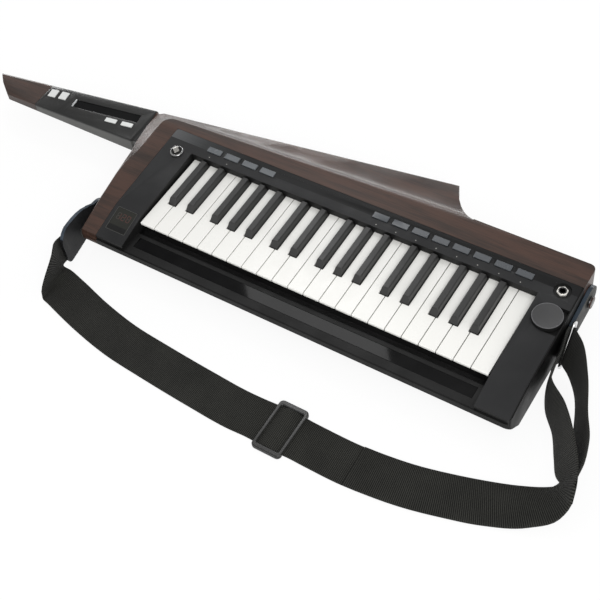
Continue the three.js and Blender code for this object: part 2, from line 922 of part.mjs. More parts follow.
// Back cover with the key chassis: hinge bar, its wall and shelf, and the front stop
function backCoverSolid() {
  const left = -panelLeft + panelSeat - coverSideLap;
  const right = panelRight - panelSeat + coverSideLap;
  const top = -bodyBottom - fit;
  const plate = block(left, right, coverFront - coverLap, coverBack + coverLap, floorZ, top);
  const railTop = -hingeDrop - hingeRadius;
  const wallBack = coverBack - pedestalGap;
  const wallFront = wallBack - pedestalDepth;
  const shelfBack = keyEnd;
  const chassis = profile([
    [wallFront, top - fit],
    [wallBack, top - fit],
    [wallBack, -bodyBottom + cavityBackCorner],
    [shelfBack, railTop - pedestalShelf],
    [shelfBack, railTop],
    [hingeY + hingeWeb, railTop],
    [hingeY + hingeWeb, -hingeDrop],
    [hingeY - hingeWeb, -hingeDrop],
    [hingeY - hingeWeb, railTop],
    [wallFront, railTop],
  ], 0, keyboardWidth);
  const bar = new THREE.CylinderGeometry(hingeRadius, hingeRadius, keyboardWidth, 16);
  bar.rotateZ(Math.PI / 2).translate(keyboardWidth / 2, hingeY, -hingeDrop);
  const drop = (hingeY - keyStopSetback) * Math.tan(keyTravel);
  const stopTop = -whitePlate - drop - fit;
  const stopBack = keyStopSetback + keyStopDepth;
  const stop = block(0, keyboardWidth, keyStopSetback, stopBack, top - fit, stopTop);
  return joined([plate, chassis, solidOf(bar), stop]);
}

// Panel buttons, drawn level about the middle of the cap and then tilted with the band
function onBand(solid, x) {
  const level = topLevel(buttonSetback);
  return solid.rotate(THREE.MathUtils.radToDeg(bandTilt), 0, 0).translate(x, buttonSetback, level);
}

const functionPlaces = Array.from({ length: functionCount }, (_, k) => {
  return functionStart + k * buttonPitch;
});
const favouritePlaces = Array.from({ length: favouriteCount }, (_, k) => {
  return keyboardWidth - favouriteInset - (favouriteCount - 1 - k) * buttonPitch;
});
const flangeTop = -panelPlate - fit;
const buttonSize = [buttonLength, buttonDepth];

function capSolid() {
  const cap = centredBlock(buttonSize, 0, flangeTop - buttonFlange, buttonRise);
  const stem = post(0, 0, flangeTop - buttonStem, flangeTop, buttonFlange, 12);
  return cap.add(stem);
}

function functionButtonSolid(x) {
  const flange = centredBlock(buttonSize, buttonFlange, flangeTop - buttonFlange, flangeTop);
  return onBand(capSolid().add(flange), x);
}

function favouriteStripSolid() {
  const first = favouritePlaces[0];
  const last = favouritePlaces[favouriteCount - 1];
  const length = last - first + buttonLength;
  const size = [length, buttonDepth];
  const carrier = centredBlock(size, buttonFlange, flangeTop - buttonFlange, flangeTop);
  const caps = favouritePlaces.map((x) => capSolid().translate(x - (first + last) / 2, 0, 0));
  return onBand(joined([carrier, ...caps]), (first + last) / 2);
}

// Display window, laid on the sloping end of the left cheek
const facetSlope = (cheekBreakRise + panelFrontDrop) / (cheekBreak + panelFront);
const facetTilt = Math.atan(facetSlope);

function onFacet(solid) {
  const x = -displayInset - displayWidth / 2;
  const y = -displayFront + displayLength / 2 * Math.cos(facetTilt);
  const z = topLevel(y);
  return solid.rotate(THREE.MathUtils.radToDeg(facetTilt), 0, 0).translate(x, y, z);
}

const displaySize = [displayWidth, displayLength];

// Control panel: a sheet with a well for the keys, cheeks, and the ledge in front of the keys
function controlPanelSolid() {
  const outline = plan(panelOutline(0), -bodyBottom, plateauRise + overrun);
  const wallFoot = -frontEdgeDrop - ledgePlate;
  const top = sheet(panelPlate, 0).intersect(outline);
  const well = block(wellLeft, wellRight, -panelFront - overrun, keyReach, wallFoot, overrun * 3);
  const under = sheet(frontEdgeDrop + plateauRise + overrun, 0).intersect(outline);
  const low = (left, right, front, back) => {
    return block(left, right, front, back, wallFoot, plateauRise + overrun).intersect(under);
  };
  const cheekBack = keyReach + wellWall;
  const frontBack = -panelFront + wellWall;
  const parts = [
    top.subtract(well),
    low(wellLeft - wellWall, wellLeft, -panelFront, cheekBack),
    low(wellRight, wellRight + wellWall, -panelFront, cheekBack),
    low(-panelLeft, wellLeft, -panelFront, frontBack),
    low(wellRight, panelRight, -panelFront, frontBack),
    block(
      wellLeft - wellWall / 2,
      wellRight + wellWall / 2,
      keyReach,
      cheekBack,
      wellBackClear,
      topLevel(keyReach) - panelPlate / 2,
    ),
    block(
      wellLeft - wellWall / 2,
      wellRight + wellWall / 2,
      -panelFront,
      -ledgeBack,
      wallFoot,
      -frontEdgeDrop,
    ),
    block(wellLeft, wellRight, -ledgeBack - wellWall, -ledgeBack, -frontEdgeDrop - ledgeSkirt, wallFoot + fit),
    dialRecess(dialCupWall, dialFloor - dialCupWall, plateauRise).intersect(under),
    post(jackX, jackSetback, jackFloor - dialCupWall, jackTop, jackWellRadius + dialCupWall, 32)
      .intersect(under),
  ];
  let panel = joined(parts);
  panel = panel.subtract(dialRecess(0, dialFloor, plateauRise + overrun));
  const spindleHole = spindleRadius + fit;
  const cupFoot = dialFloor - dialCupWall - overrun;
  panel = panel.subtract(post(dialX, dialSetback, cupFoot, plateauRise, spindleHole));
  panel = panel.subtract(post(jackX, jackSetback, jackFloor, plateauRise + overrun, jackWellRadius, 32));
  panel = panel.subtract(post(jackX, jackSetback, cupFoot, plateauRise, jackBush / 2 + fit));
  const shaft = post(0, 0, -spindleLength - overrun, overrun, spindleHole);
  panel = panel.subtract(onKnobPlace(shaft));
  for (const x of [...functionPlaces, ...favouritePlaces]) {
    const slot = centredBlock(buttonSize, fit, -panelPlate * 2, overrun);
    panel = panel.subtract(onBand(slot, x));
  }
  const window = centredBlock(displaySize, fit, -displayThickness - fit, overrun);
  panel = panel.subtract(onFacet(window));
  return panel.subtract(ribbonSolid(fit, overrun));
}

function ribbonSolid(margin, rise) {
  const left = ribbonInset - margin;
  const right = keyboardWidth - ribbonInset + margin;
  const back = -ribbonSetback + margin;
  const front = -ribbonSetback - ribbonWidth - margin;
  const bottom = -frontEdgeDrop - ribbonThickness - margin;
  return block(left, right, front, back, bottom, -frontEdgeDrop + rise);
}

// Level knob: a dished skirt with a raised pointer, square to the panel face and part turned
const faceTilt = Math.atan((wellBackRise - cheekBreakRise) / (keyReach - cheekBreak));

function onKnobPlace(solid) {
  const tilted = solid.rotate(THREE.MathUtils.radToDeg(faceTilt), 0, 0);
  return tilted.translate(-knobReach, knobSetback, topLevel(knobSetback));
}

function levelKnobSolid() {
  const dish = knobSkirt / 2;
  const skirt = turned([
    [0, fit],
    [knobRadius, fit],
    [knobRadius, knobSkirt - knobLip],
    [knobRadius - knobLip, knobSkirt],
    [knobHub, knobSkirt],
    [knobHub - knobLip, dish],
    [0, dish],
  ], 32);
  const end = knobPointerLength / 2;
  const half = knobPointerWidth / 2;
  const shoulder = knobPointerHeight - knobLip * 2;
  const pointer = profile([
    [-end, fit * 2],
    [end, fit * 2],
    [end + knobLip, shoulder],
    [end, knobPointerHeight],
    [-end / 2, knobPointerHeight],
    [-end, shoulder],
  ], -half, half);
  const spindle = post(0, 0, -spindleLength, fit * 2, spindleRadius);
  return onKnobPlace(joined([skirt, pointer, spindle]).rotate(0, 0, knobTurn));
}

function valueDialSolid() {
  const bottom = dialTop - dialThickness;
  const rim = dialRadius - dialRound;
  const disc = turned([
    [0, bottom],
    [rim, bottom],
    [dialRadius, bottom + dialRound],
    [dialRadius, dialTop - dialRound],
    [rim, dialTop],
    [rim - dialRound, dialTop - dialRound / 3],
    [0, dialTop - dialRound / 3],
  ], 64);
  const spindle = post(0, 0, bottom - spindleLength, bottom + dialRound, spindleRadius);
  return disc.add(spindle).translate(dialX, dialSetback, 0);
}

function headphoneJackSolid() {
  const nutRadius = jackNutFlats / Math.sqrt(3);
  const nutFoot = jackFloor + fit;
  const nut = post(0, 0, nutFoot, nutFoot + jackNutHeight, nutRadius, 6);
  const bodyTop = jackFloor - dialCupWall - fit;
  const bush = post(0, 0, bodyTop - fit, nutFoot + jackNutHeight + fit * 2, jackBush / 2);
  const half = jackBodyWidth / 2;
  const box = block(-half, half, -half, half, bodyTop - jackBodyDepth, bodyTop);
  const hole = post(0, 0, bodyTop - jackBodyDepth + bodyWall, plateauRise + overrun, jackHole / 2);
  return joined([nut, bush, box]).subtract(hole).translate(jackX, jackSetback, 0);
}

// Strap webbing. Each station gives the inner edge as shares of the body's right wall, of the
// strap's reach and of the standing height, then the turn and the lift of the width in degrees,
// and where the webbing is drawn in under the left tab, the share of its width.
const mainShares = [
  [-0.1563, -0.1786, 0, 180, 82, 0.72],
  [-0.1563, -0.2619, 0, 180, 82, 0.72],
  [-0.1563, -0.3214, 0, 180, 84, 0.72],
  [-0.1563, -0.375, 0, 180, 85, 0.76],
  [-0.1563, -0.4095, 0, -66, 84, 0.86],
  [-0.1555, -0.4179, 0, -58, 66, 0.95],
  [-0.1535, -0.4244, 0, -67, 47],
  [-0.1497, -0.4268, 0, -76, 30],
  [-0.144, -0.4286, 0, -84, 13],
  [-0.1304, -0.43, 0, -93, 0],
  [-0.0843, -0.463, 0, -107, 0],
  [0.014, -0.545, 0, -103, 0],
  [0.1163, -0.607, 0, -98, 0],
  [0.2158, -0.636, 0, -95, 0],
  [0.3519, -0.666, 0, -93, 0],
  [0.4506, -0.681, 0, -91, 0],
];
const farShares = [
  [0.6519, -0.678, 0, -89, 0],
  [0.7342, -0.6775, 0, -88, 0],
];
const sewnShares = [
  [0.7412, -0.677, 0.008, -88, 0],
  [0.7723, -0.6705, 0.008, -86, 0],
];
const sewnMargin = 0.02;
const sewnFaceShare = 0.8;
const buckleShare = 0.5627;
const buckleReachShare = 0.675;
const buckleSetback = buckleReachShare * strapReach;
const doubledShares = [
  [0.7442, -0.677, 0, -88, 0],
  [0.7823, -0.668, 0, -85, 0],
  [0.8616, -0.636, 0, -79, 0],
  [0.93, -0.589, 0, -71, 0],
  [0.993, -0.536, 0, -66, 0],
  [1.0632, -0.464, 0, -55, 8],
  [1.1073, -0.405, 0, -48, 24],
  [1.1254, -0.372, 0.01, -44, 42],
  [1.1314, -0.345, 0.02, -38, 58],
];
const outerShares = [
  [1.1324, -0.24, 0.02, -20, 68],
  [1.1234, -0.149, 0.02, 8, 71],
  [1.1026, 0.051, 0.02, -15, 75],
  [1.0714, 0.266, 0.03, 0, 78],
  [1.0349, 0.39, 0.08, 60, 72],
];
const innerShares = [
  [1.0079, 0.285, 0.06, 70, 70],
  [1.0331, 0.085, 0.03, 100, 76],
  [1.0702, -0.051, 0.02, 75, 73],
  [1.0973, -0.2, 0.02, 45, 70],
  [1.1194, -0.31, 0.02, -10, 64],
];

// Edge points of a station: the inner one, and the outer one a webbing's width away
function station([xShare, yShare, liftShare, turn, lift, widthShare = 1], thickness) {
  const level = floorZ + webbingLift + thickness / 2 + liftShare * standHeight;
  const inner = new THREE.Vector3(xShare * bodyRight, yShare * strapReach, level);
  const width = webbingWidth * widthShare;
  const flat = width * Math.cos(degrees(lift));
  const outer = new THREE.Vector3(
    flat * Math.cos(degrees(turn)),
    flat * Math.sin(degrees(turn)),
    width * Math.sin(degrees(lift)),
  );
  return [inner, outer.add(inner)];
}

// Ribbon of the given thickness whose two edges run through the stations
function ribbon(stations, thickness) {
  const middles = stations.map(([a, b]) => a.clone().add(b).divideScalar(2));
  const last = stations.length - 1;
  return loft(stations.map(([a, b], k) => {
    const from = middles[Math.max(0, k - 1)];
    const to = middles[Math.min(last, k + 1)];
    const half = thicknessAcross(from, to, a, b, thickness / 2);
    return [a.clone().sub(half), b.clone().sub(half), b.clone().add(half), a.clone().add(half)];
  }));
}

function thicknessAcross(from, to, a, b, length) {
  const along = to.clone().sub(from);
  return along.cross(b.clone().sub(a)).normalize().multiplyScalar(length);
}

// The webbing rises over the middle bar of the buckle and passes under its two end bars
function buckleStations() {
  const level = floorZ + webbingLift + webbingThickness / 2;
  const rise = buckleThickness - webbingLift;
  const end = buckleLength / 2;
  const shoulder = end - buckleBar - fit;
  const crest = buckleBar / 2 + webbingThickness;
  const steps = [-end, -shoulder, -crest, crest, shoulder, end];
  const lifts = [0, 0, rise, rise, 0, 0];
  return steps.map((step, k) => {
    const x = buckleShare * bodyRight + step;
    const inner = new THREE.Vector3(x, -buckleSetback, level + lifts[k]);
    return [inner, inner.clone().setY(-buckleSetback - webbingWidth)];
  });
}

// Ring bar that carries the webbing, and the directions along it and away from the tab
const ringUp = new THREE.Vector3(0, Math.sin(ringLean), Math.cos(ringLean));
const ringAway = new THREE.Vector3(0, -Math.cos(ringLean), Math.sin(ringLean));
const ringMiddle = new THREE.Vector3(bodyRight + ringStandOff, ringSetback, -ringDrop);

function wrapStations() {
  const radius = ringRod / 2 + fit + webbingThickness / 2;
  const half = ringUp.clone().multiplyScalar(webbingAtRing / 2);
  const steps = 6;
  const stations = [];
  for (let k = 0; k <= steps; k += 1) {
    const angle = Math.PI * k / steps;
    const centre = ringMiddle.clone();
    centre.x += radius * Math.cos(angle);
    centre.addScaledVector(ringAway, -radius * Math.sin(angle));
    stations.push([centre.clone().sub(half), centre.clone().add(half)]);
  }
  return stations;
}

// The last stretch of the sewn strap, moved to one face of it
function doubledFace(side) {
  const ends = doubledShares.slice(-2).map((share) => station(share, doubledThickness));
  const middles = ends.map(([a, b]) => a.clone().add(b).divideScalar(2));
  const offset = side * (doubledThickness - webbingThickness) / 2;
  return ends.map(([a, b]) => {
    const shift = thicknessAcross(middles[0], middles[1], a, b, offset * sewnFaceShare);
    return narrowed([a.add(shift), b.add(shift)]);
  });
}

// Edge points drawn in a little, for webbing that is sewn inside the double layer
function narrowed([a, b]) {
  const margin = b.clone().sub(a).multiplyScalar(sewnMargin);
  return [a.clone().add(margin), b.clone().sub(margin)];
}

function strapSolid() {
  const thin = (share) => station(share, webbingThickness);
  const main = [
    ...mainShares.map(thin),
    ...buckleStations(),
    ...farShares.map(thin),
    ...sewnShares.map((share) => narrowed(thin(share))),
  ];
  const doubled = doubledShares.map((share) => station(share, doubledThickness));
  const loop = [
    ...doubledFace(-1),
    ...outerShares.map(thin),
    ...wrapStations(),
    ...innerShares.map(thin),
    ...doubledFace(1).reverse(),
  ];
  return joined([
    ribbon(main, webbingThickness),
    ribbon(doubled, doubledThickness),
    ribbon(loop, webbingThickness),
  ]);
}

// Slide buckle: a frame with a lower middle bar under the webbing
function buckleSolid() {
  const length = buckleLength / 2;
  const width = buckleWidth / 2;
  const r = buckleRound;
  const quarter = Math.PI / 2;
  const outline = [
    ...arc(length - r, width - r, r, 0, quarter, 4),
    ...arc(r - length, width - r, r, quarter, 2 * quarter, 4),
    ...arc(r - length, r - width, r, 2 * quarter, 3 * quarter, 4),
    ...arc(length - r, r - width, r, 3 * quarter, 4 * quarter, 4),
  ];
  const bottom = floorZ + webbingLift;
  const barFoot = bottom + webbingThickness + fit;
  const top = barFoot + buckleThickness;
  const inside = webbingWidth / 2 + fit * 3;
  const gap = length - buckleBar;
  const window = block(-gap, gap, -inside, inside, bottom - overrun, top + overrun);
  const under = block(-length - overrun, length + overrun, -inside, inside, bottom - overrun, barFoot);
  const bar = block(
    -buckleBar / 2,
    buckleBar / 2,
    -inside - fit,
    inside + fit,
    bottom,
    bottom + webbingThickness + fit,
  );
  const frame = plan(outline, bottom, top).subtract(window).subtract(under).add(bar);
  const middle = -buckleSetback - webbingWidth / 2;
  return frame.translate(buckleShare * bodyRight, middle, 0);
}

function rod(from, to, radius, sides) {
  const length = from.distanceTo(to);
  const geometry = new THREE.CylinderGeometry(radius, radius, length, sides);
  const up = new THREE.Vector3(0, 1, 0);
  const direction = to.clone().sub(from).normalize();
  geometry.applyQuaternion(new THREE.Quaternion().setFromUnitVectors(up, direction));
  const middle = from.clone().add(to).divideScalar(2);
  return solidOf(geometry.translate(middle.x, middle.y, middle.z));
}

// Rectangular ring of round rod, drawn as sections along its rounded path
function ringSolid() {
  const half = ringLength / 2 + ringRod / 2 - ringRound;
  const near = -ringRound;
  const far = ringRound - ringSpan;
  const quarter = Math.PI / 2;
  const path = [
    ...arc(half, near, ringRound, 0, quarter, 3),
    ...arc(-half, near, ringRound, quarter, 2 * quarter, 3),
    ...arc(-half, far, ringRound, 2 * quarter, 3 * quarter, 3),
    ...arc(half, far, ringRound, 3 * quarter, 4 * quarter, 3),
  ];
  const place = ([up, away]) => {
    return ringMiddle.clone().addScaledVector(ringUp, up).addScaledVector(ringAway, away);
  };
  const count = path.length;
  const side = new THREE.Vector3(1, 0, 0);
  const rings = path.map((spot, k) => {
    const centre = place(spot);
    const from = place(path[(k + count - 1) % count]);
    const to = place(path[(k + 1) % count]);
    const outward = to.sub(from).normalize().cross(side);
    return arc(0, 0, ringRod / 2, 0, 2 * Math.PI, 12).slice(1).map(([a, b]) => {
      return centre.clone().addScaledVector(side, a).addScaledVector(outward, b);
    });
  });
  return loft(rings, true);
}

// Left tab: a band that bulges outwards between the pin and its round front end
function tabLean(y) {
  const start = leftPinSetback - pinHead - tabStandOff;
  const share = THREE.MathUtils.clamp((start - y) / (start + leftTabFront), 0, 1);
  return tabBulge * Math.sin(Math.PI * share ** tabBulgeLead);
}

function leftTabSolid() {
  const foot = floorZ + webbingLift;
  const top = foot + tabHeight;
  const quarter = Math.PI / 2;
  const r = tabFrontRound;
  const outline = [
    ...arc(tabFootRound - leftTabFront, foot + tabFootRound, tabFootRound, 2 * quarter, 3 * quarter, 4),
    ...arc(leftPinSetback, -pinDrop, leftTabEndRound, -quarter, quarter, 12),
    ...arc(r - leftTabFront, top - r, r, quarter, 2 * quarter, 8),
  ];
  const rings = [];
  const steps = 12;
  const back = leftPinSetback + leftTabEndRound + overrun;
  const front = -leftTabFront - overrun;
  const height = tabHeight + overrun;
  for (let k = 0; k <= steps; k += 1) {
    const y = THREE.MathUtils.lerp(back, front, k / steps);
    const lean = tabLean(y);
    const at = (across, up) => {
      const x = leftTabFace - tabThickness + across * Math.cos(lean) - up * Math.sin(lean);
      return new THREE.Vector3(x, y, foot + across * Math.sin(lean) + up * Math.cos(lean));
    };
    rings.push([
      at(0, -overrun),
      at(tabThickness, -overrun),
      at(tabThickness, height),
      at(0, height),
    ]);
  }
  const outer = leftTabFace - tabThickness - tabHeight;
  const plate = loft(rings).intersect(profile(outline, outer, leftTabFace + tabHeight));
  return plate.subtract(pinHole(leftTabFace, leftPinSetback));
}

function pinHole(face, setback) {
  const reach = tabThickness + overrun;
  const from = new THREE.Vector3(face - reach, setback, -pinDrop);
  const to = new THREE.Vector3(face + reach, setback, -pinDrop);
  return rod(from, to, pinNeck + fit, 24);
}

// Right tab: it lies on the end wall and folds round the upper bar of the ring
function rightTabSolid() {
  const quarter = Math.PI / 2;
  const end = arc(rightPinSetback, -pinDrop, tabEndRound, -quarter, quarter, 12);
  const far = ringMiddle.clone().addScaledVector(ringAway, -ringSpan);
  const upper = far.clone().addScaledVector(ringUp, foldLength / 2);
  const lower = far.clone().addScaledVector(ringUp, -foldLength / 2);
  const foot = floorZ + tabThickness;
  const outline = [
    ...end,
    [upper.y, upper.z],
    [lower.y, lower.z],
    [(lower.y + far.y + foldLength / 2) / 2, foot],
  ];
  const plate = profile(outline, rightTabFace, rightTabFace + tabThickness);
  const fold = rod(lower, upper, foldRadius, 24);
  const stretch = ringUp.clone().multiplyScalar(overrun);
  const bore = rod(lower.sub(stretch), upper.add(stretch), ringRod / 2 + fit, 24);
  const tab = plate.add(fold).subtract(bore);
  return tab.subtract(pinHole(rightTabFace, rightPinSetback));
}

function displaySolid() {
  return onFacet(centredBlock(displaySize, 0, -displayThickness, 0));
}

// Assembly
function controls() {
  const pieces = [];
  functionPlaces.forEach((x, k) => {
    const cap = functionButtonSolid(x);
    pieces.push(piece(`function_button_${k + 1}`, cap, materials.smokedCap));
  });
  pieces.push(piece('favourites_strip', favouriteStripSolid(), materials.smokedCap));
  pieces.push(piece('level_knob', levelKnobSolid(), materials.chrome));
  pieces.push(piece('value_dial', valueDialSolid(), materials.dial));
  neckButtonSolids().forEach((cap, k) => {
    pieces.push(piece(`neck_button_${k + 1}`, cap, materials.whiteCap));
  });
  return pieces;
}

function build() {
  const drawing = new THREE.Group();
  drawing.add(
    piece('body_shell', bodyShellSolid(), materials.wood),
    piece('back_cover', backCoverSolid(), materials.cover),
    piece('control_panel', controlPanelSolid(), materials.panel),
    piece('neck_panel', neckPanelSolid(), materials.neckPlate),
    piece('long_ribbon', ribbonSolid(0, 0), materials.touch),
    piece('display_window', displaySolid(), materials.glass),
    piece('headphone_jack', headphoneJackSolid(), materials.chrome),
    ...controls(),
    ...keyboard(),
    piece('strap_webbing', strapSolid(), materials.webbing),
    piece('strap_buckle', buckleSolid(), materials.buckle),
    piece('strap_ring', ringSolid(), materials.chrome),
    piece('strap_tab_left', leftTabSolid(), materials.leather),
    piece('strap_tab_right', rightTabSolid(), materials.leather),
  );
  const restMiddle = (coverFront + coverBack) / 2;
  drawing.position.set(-keyboardWidth / 2, -restMiddle, standHeight);
  const keytar = new THREE.Group();
  keytar.name = 'keytar';
  keytar.add(drawing);
  return keytar;
}

export default build();
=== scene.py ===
import bpy
import bmesh
import math
from mathutils import Matrix, Vector


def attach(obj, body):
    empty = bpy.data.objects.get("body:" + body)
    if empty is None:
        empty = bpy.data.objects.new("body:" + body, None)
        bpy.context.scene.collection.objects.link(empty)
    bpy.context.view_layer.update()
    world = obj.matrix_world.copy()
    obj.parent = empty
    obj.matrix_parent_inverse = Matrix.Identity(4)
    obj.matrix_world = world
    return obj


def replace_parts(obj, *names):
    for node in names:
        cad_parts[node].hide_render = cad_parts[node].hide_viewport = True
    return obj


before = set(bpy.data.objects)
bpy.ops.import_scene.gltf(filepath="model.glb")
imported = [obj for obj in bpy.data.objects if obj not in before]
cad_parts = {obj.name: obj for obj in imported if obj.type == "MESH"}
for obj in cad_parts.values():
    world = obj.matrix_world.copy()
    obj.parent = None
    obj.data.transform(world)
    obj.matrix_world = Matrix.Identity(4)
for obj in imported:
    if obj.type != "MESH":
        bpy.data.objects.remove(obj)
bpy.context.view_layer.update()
ROOT = "instrument"
MM = 0.001

# The source draws from the corner of the lowest key: this is that corner in the frame, in mm
KEY_CORNER = Vector((-227.7, -65.0027, 48.0))


def at(x, y, z):
    """A place in the source's mm, in the frame's metres."""
    return (Vector((x, y, z)) + KEY_CORNER) * MM


# The camera stands where the photograph was taken from
CAMERA_PLACE = at(741.607, -618.392, 1044.671)
CAMERA_RIGHT = Vector((0.84292535, 0.52767761, -0.10503899))
CAMERA_DOWN = Vector((0.37102541, -0.71147838, -0.59677354))
CAMERA_FORWARD = Vector((-0.38963701, 0.46406341, -0.79550497))

camera_data = bpy.data.cameras.new("camera")
camera_data.lens = 71.434
camera_data.sensor_width = 36.0
camera_data.clip_start = 0.05
camera_data.clip_end = 30.0
camera = bpy.data.objects.new("camera", camera_data)
bpy.context.scene.collection.objects.link(camera)
turn = Matrix((CAMERA_RIGHT, -CAMERA_DOWN, -CAMERA_FORWARD)).transposed().to_4x4()
camera.matrix_world = Matrix.Translation(CAMERA_PLACE) @ turn
bpy.context.scene.camera = camera
bpy.context.scene.view_settings.view_transform = "Standard"


def fill_ramp(node, stops):
    points = node.color_ramp.elements
    while len(points) < len(stops):
        points.new(0.5)
    for point, (place, color) in zip(points, stops):
        point.position = place
        point.color = (*color, 1.0)


class Look:
    """A Principled material and short calls for its nodes."""

    def __init__(self, name, color, roughness, metallic=0.0, **sockets):
        self.mat = bpy.data.materials.new(name)
        self.mat.use_nodes = True
        self.nodes = self.mat.node_tree.nodes
        self.links = self.mat.node_tree.links
        self.shader = self.nodes["Principled BSDF"]
        self.set("Base Color", (*color, 1.0))
        self.set("Roughness", roughness)
        self.set("Metallic", metallic)
        for key, value in sockets.items():
            self.set(key.replace("_", " "), value)
        self.coords = self.add("TexCoord")
        self.last_bump = None

    def set(self, socket, value):
        self.shader.inputs[socket].default_value = value

    def link(self, a, b):
        self.links.new(a, b)

    def add(self, kind, **values):
        """A node with these values in its inputs."""
        node = self.nodes.new("ShaderNode" + kind)
        for key, value in values.items():
            node.inputs[key.replace("_", " ")].default_value = value
        return node

    def vector(self, scale=(1, 1, 1), source="Object"):
        node = self.add("Mapping", Scale=scale)
        self.link(self.coords.outputs[source], node.inputs["Vector"])
        return node.outputs["Vector"]

    def noise(self, vector, scale, detail=4.0, roughness=0.55, distortion=0.0):
        node = self.add("TexNoise", Scale=scale, Detail=detail, Roughness=roughness,
                        Distortion=distortion)
        self.link(vector, node.inputs["Vector"])
        return node.outputs["Fac"]

    def cells(self, vector, scale):
        node = self.add("TexVoronoi", Scale=scale)
        self.link(vector, node.inputs["Vector"])
        return node.outputs["Distance"]

    def wave(self, vector, scale, direction):
        node = self.add("TexWave", Scale=scale)
        node.bands_direction = direction
        self.link(vector, node.inputs["Vector"])
        return node.outputs["Fac"]

    def math(self, operation, a, b):
        node = self.add("Math")
        node.operation = operation
        for socket, value in zip(node.inputs, (a, b)):
            if isinstance(value, float):
                socket.default_value = value
            else:
                self.link(value, socket)
        return node.outputs["Value"]

    def blend(self, a, b, share):
        """A mix in which b counts with this share, and a with the rest."""
        return self.math("ADD", self.math("MULTIPLY", a, 1 - share),
                         self.math("MULTIPLY", b, share))

    def ramp(self, factor, stops):
        node = self.add("ValToRGB")
        fill_ramp(node, stops)
        self.link(factor, node.inputs["Fac"])
        return node.outputs["Color"]

    def grey(self, factor, low, high, start=0.35, stop=0.65):
        """Carries a factor between start and stop to a value between low and high."""
        node = self.add("MapRange", From_Min=start, From_Max=stop, To_Min=low, To_Max=high)
        self.link(factor, node.inputs["Value"])
        return node.outputs["Result"]

    def color(self, value):
        self.link(value, self.shader.inputs["Base Color"])

    def rough(self, value):
        self.link(value, self.shader.inputs["Roughness"])

    def bump(self, height, strength, distance):
        """Adds relief to the relief that is already there. The distance is in metres."""
        node = self.add("Bump", Strength=strength, Distance=distance)
        self.link(height, node.inputs["Height"])
        if self.last_bump is not None:
            self.link(self.last_bump, node.inputs["Normal"])
        self.last_bump = node.outputs["Normal"]
        self.link(self.last_bump, self.shader.inputs["Normal"])


BLACK = (0.0, 0.0, 0.0)
WHITE = (1.0, 1.0, 1.0)


def mixed(color, other, share):
    return tuple(a + (b - a) * share for a, b in zip(color, other))


def speckled(name, color, roughness, grain=900.0, depth=0.00004, spread=0.12, **sockets):
    """A moulded or lacquered surface: a fine even grain, and slow changes of tone and gloss."""
    look = Look(name, color, roughness, **sockets)
    body = look.vector()
    slow = look.noise(body, scale=14.0, detail=3.0)
    dark = mixed(color, BLACK, spread)
    light = mixed(color, WHITE, spread * 0.06)
    look.color(look.ramp(slow, [(0.3, dark), (0.7, light)]))
    gloss = look.noise(body, scale=40.0)
    look.rough(look.grey(gloss, low=roughness * 0.88, high=roughness * 1.12))
    look.bump(look.noise(body, grain, detail=2.0), strength=0.35, distance=depth)
    return look.mat


def wood_look():
    """Dark stained wood: streaks and pores that run along the instrument, under a thin coat."""
    look = Look("wood_stain", (0.04, 0.025, 0.02), 0.42, Coat_Weight=0.16, Coat_Roughness=0.22)
    look.set("Specular IOR Level", 0.3)
    wide = look.vector(scale=(1.0, 9.0, 9.0))
    narrow = look.vector(scale=(1.0, 28.0, 28.0))
    short = look.vector(scale=(1.0, 16.0, 16.0))
    bands = look.noise(wide, scale=5.0, detail=5.0, roughness=0.6, distortion=0.6)
    fine = look.noise(narrow, scale=26.0, roughness=0.65)
    pores = look.noise(short, scale=120.0, detail=2.0, roughness=0.7)
    tone = look.blend(bands, fine, 0.38)
    look.color(look.ramp(tone, [
        (0.28, (0.0115, 0.0072, 0.0056)),
        (0.45, (0.030, 0.0168, 0.0122)),
        (0.58, (0.058, 0.0280, 0.0190)),
        (0.72, (0.0215, 0.0128, 0.0100)),
    ]))
    look.rough(look.grey(fine, low=0.36, high=0.50))
    look.bump(pores, strength=0.14, distance=0.00006)
    look.bump(fine, strength=0.12, distance=0.00008)
    return look.mat


def webbing_look():
    """Ribs run across the band and fine yarns along it. The band's own coordinates are metres."""
    look = Look("webbing_weave", (0.014, 0.014, 0.013), 0.9, Sheen_Weight=0.08)
    look.set("Sheen Tint", (0.5, 0.5, 0.5, 1.0))
    look.set("Sheen Roughness", 0.4)
    look.set("Specular IOR Level", 0.2)
    flat = look.vector(source="UV")
    ribs = look.wave(flat, scale=160.0, direction="Y")
    yarns = look.wave(flat, scale=210.0, direction="X")
    weave = look.math("MULTIPLY", ribs, look.math("ADD", look.math("MULTIPLY", yarns, 0.45), 0.55))
    fuzz = look.noise(flat, scale=900.0, detail=3.0)
    slow = look.noise(flat, scale=18.0, detail=3.0)
    tone = look.blend(weave, fuzz, 0.28)
    tone = look.math("MULTIPLY", tone, look.grey(slow, low=0.85, high=1.15))
    look.color(look.ramp(tone, [(0.12, (0.0012, 0.0012, 0.0010)), (0.80, (0.042, 0.042, 0.037))]))
    look.bump(weave, strength=1.0, distance=0.0006)
    look.bump(fuzz, strength=0.4, distance=0.00015)
    return look.mat


def leather_look(name, color, roughness):
    """Grained leather with darker creases."""
    look = Look(name, color, roughness, Coat_Weight=0.05, Coat_Roughness=0.4)
    look.set("Specular IOR Level", 0.22)
    body = look.vector()
    grain = look.cells(body, scale=620.0)
    creases = look.noise(body, scale=60.0, detail=5.0, roughness=0.6)
    look.color(look.ramp(creases, [(0.35, mixed(color, BLACK, 0.4)), (0.65, color)]))
    look.rough(look.grey(creases, low=roughness * 0.85, high=roughness * 1.15))
    look.bump(grain, strength=0.5, distance=0.00018)
    look.bump(creases, strength=0.3, distance=0.0003)
    return look.mat


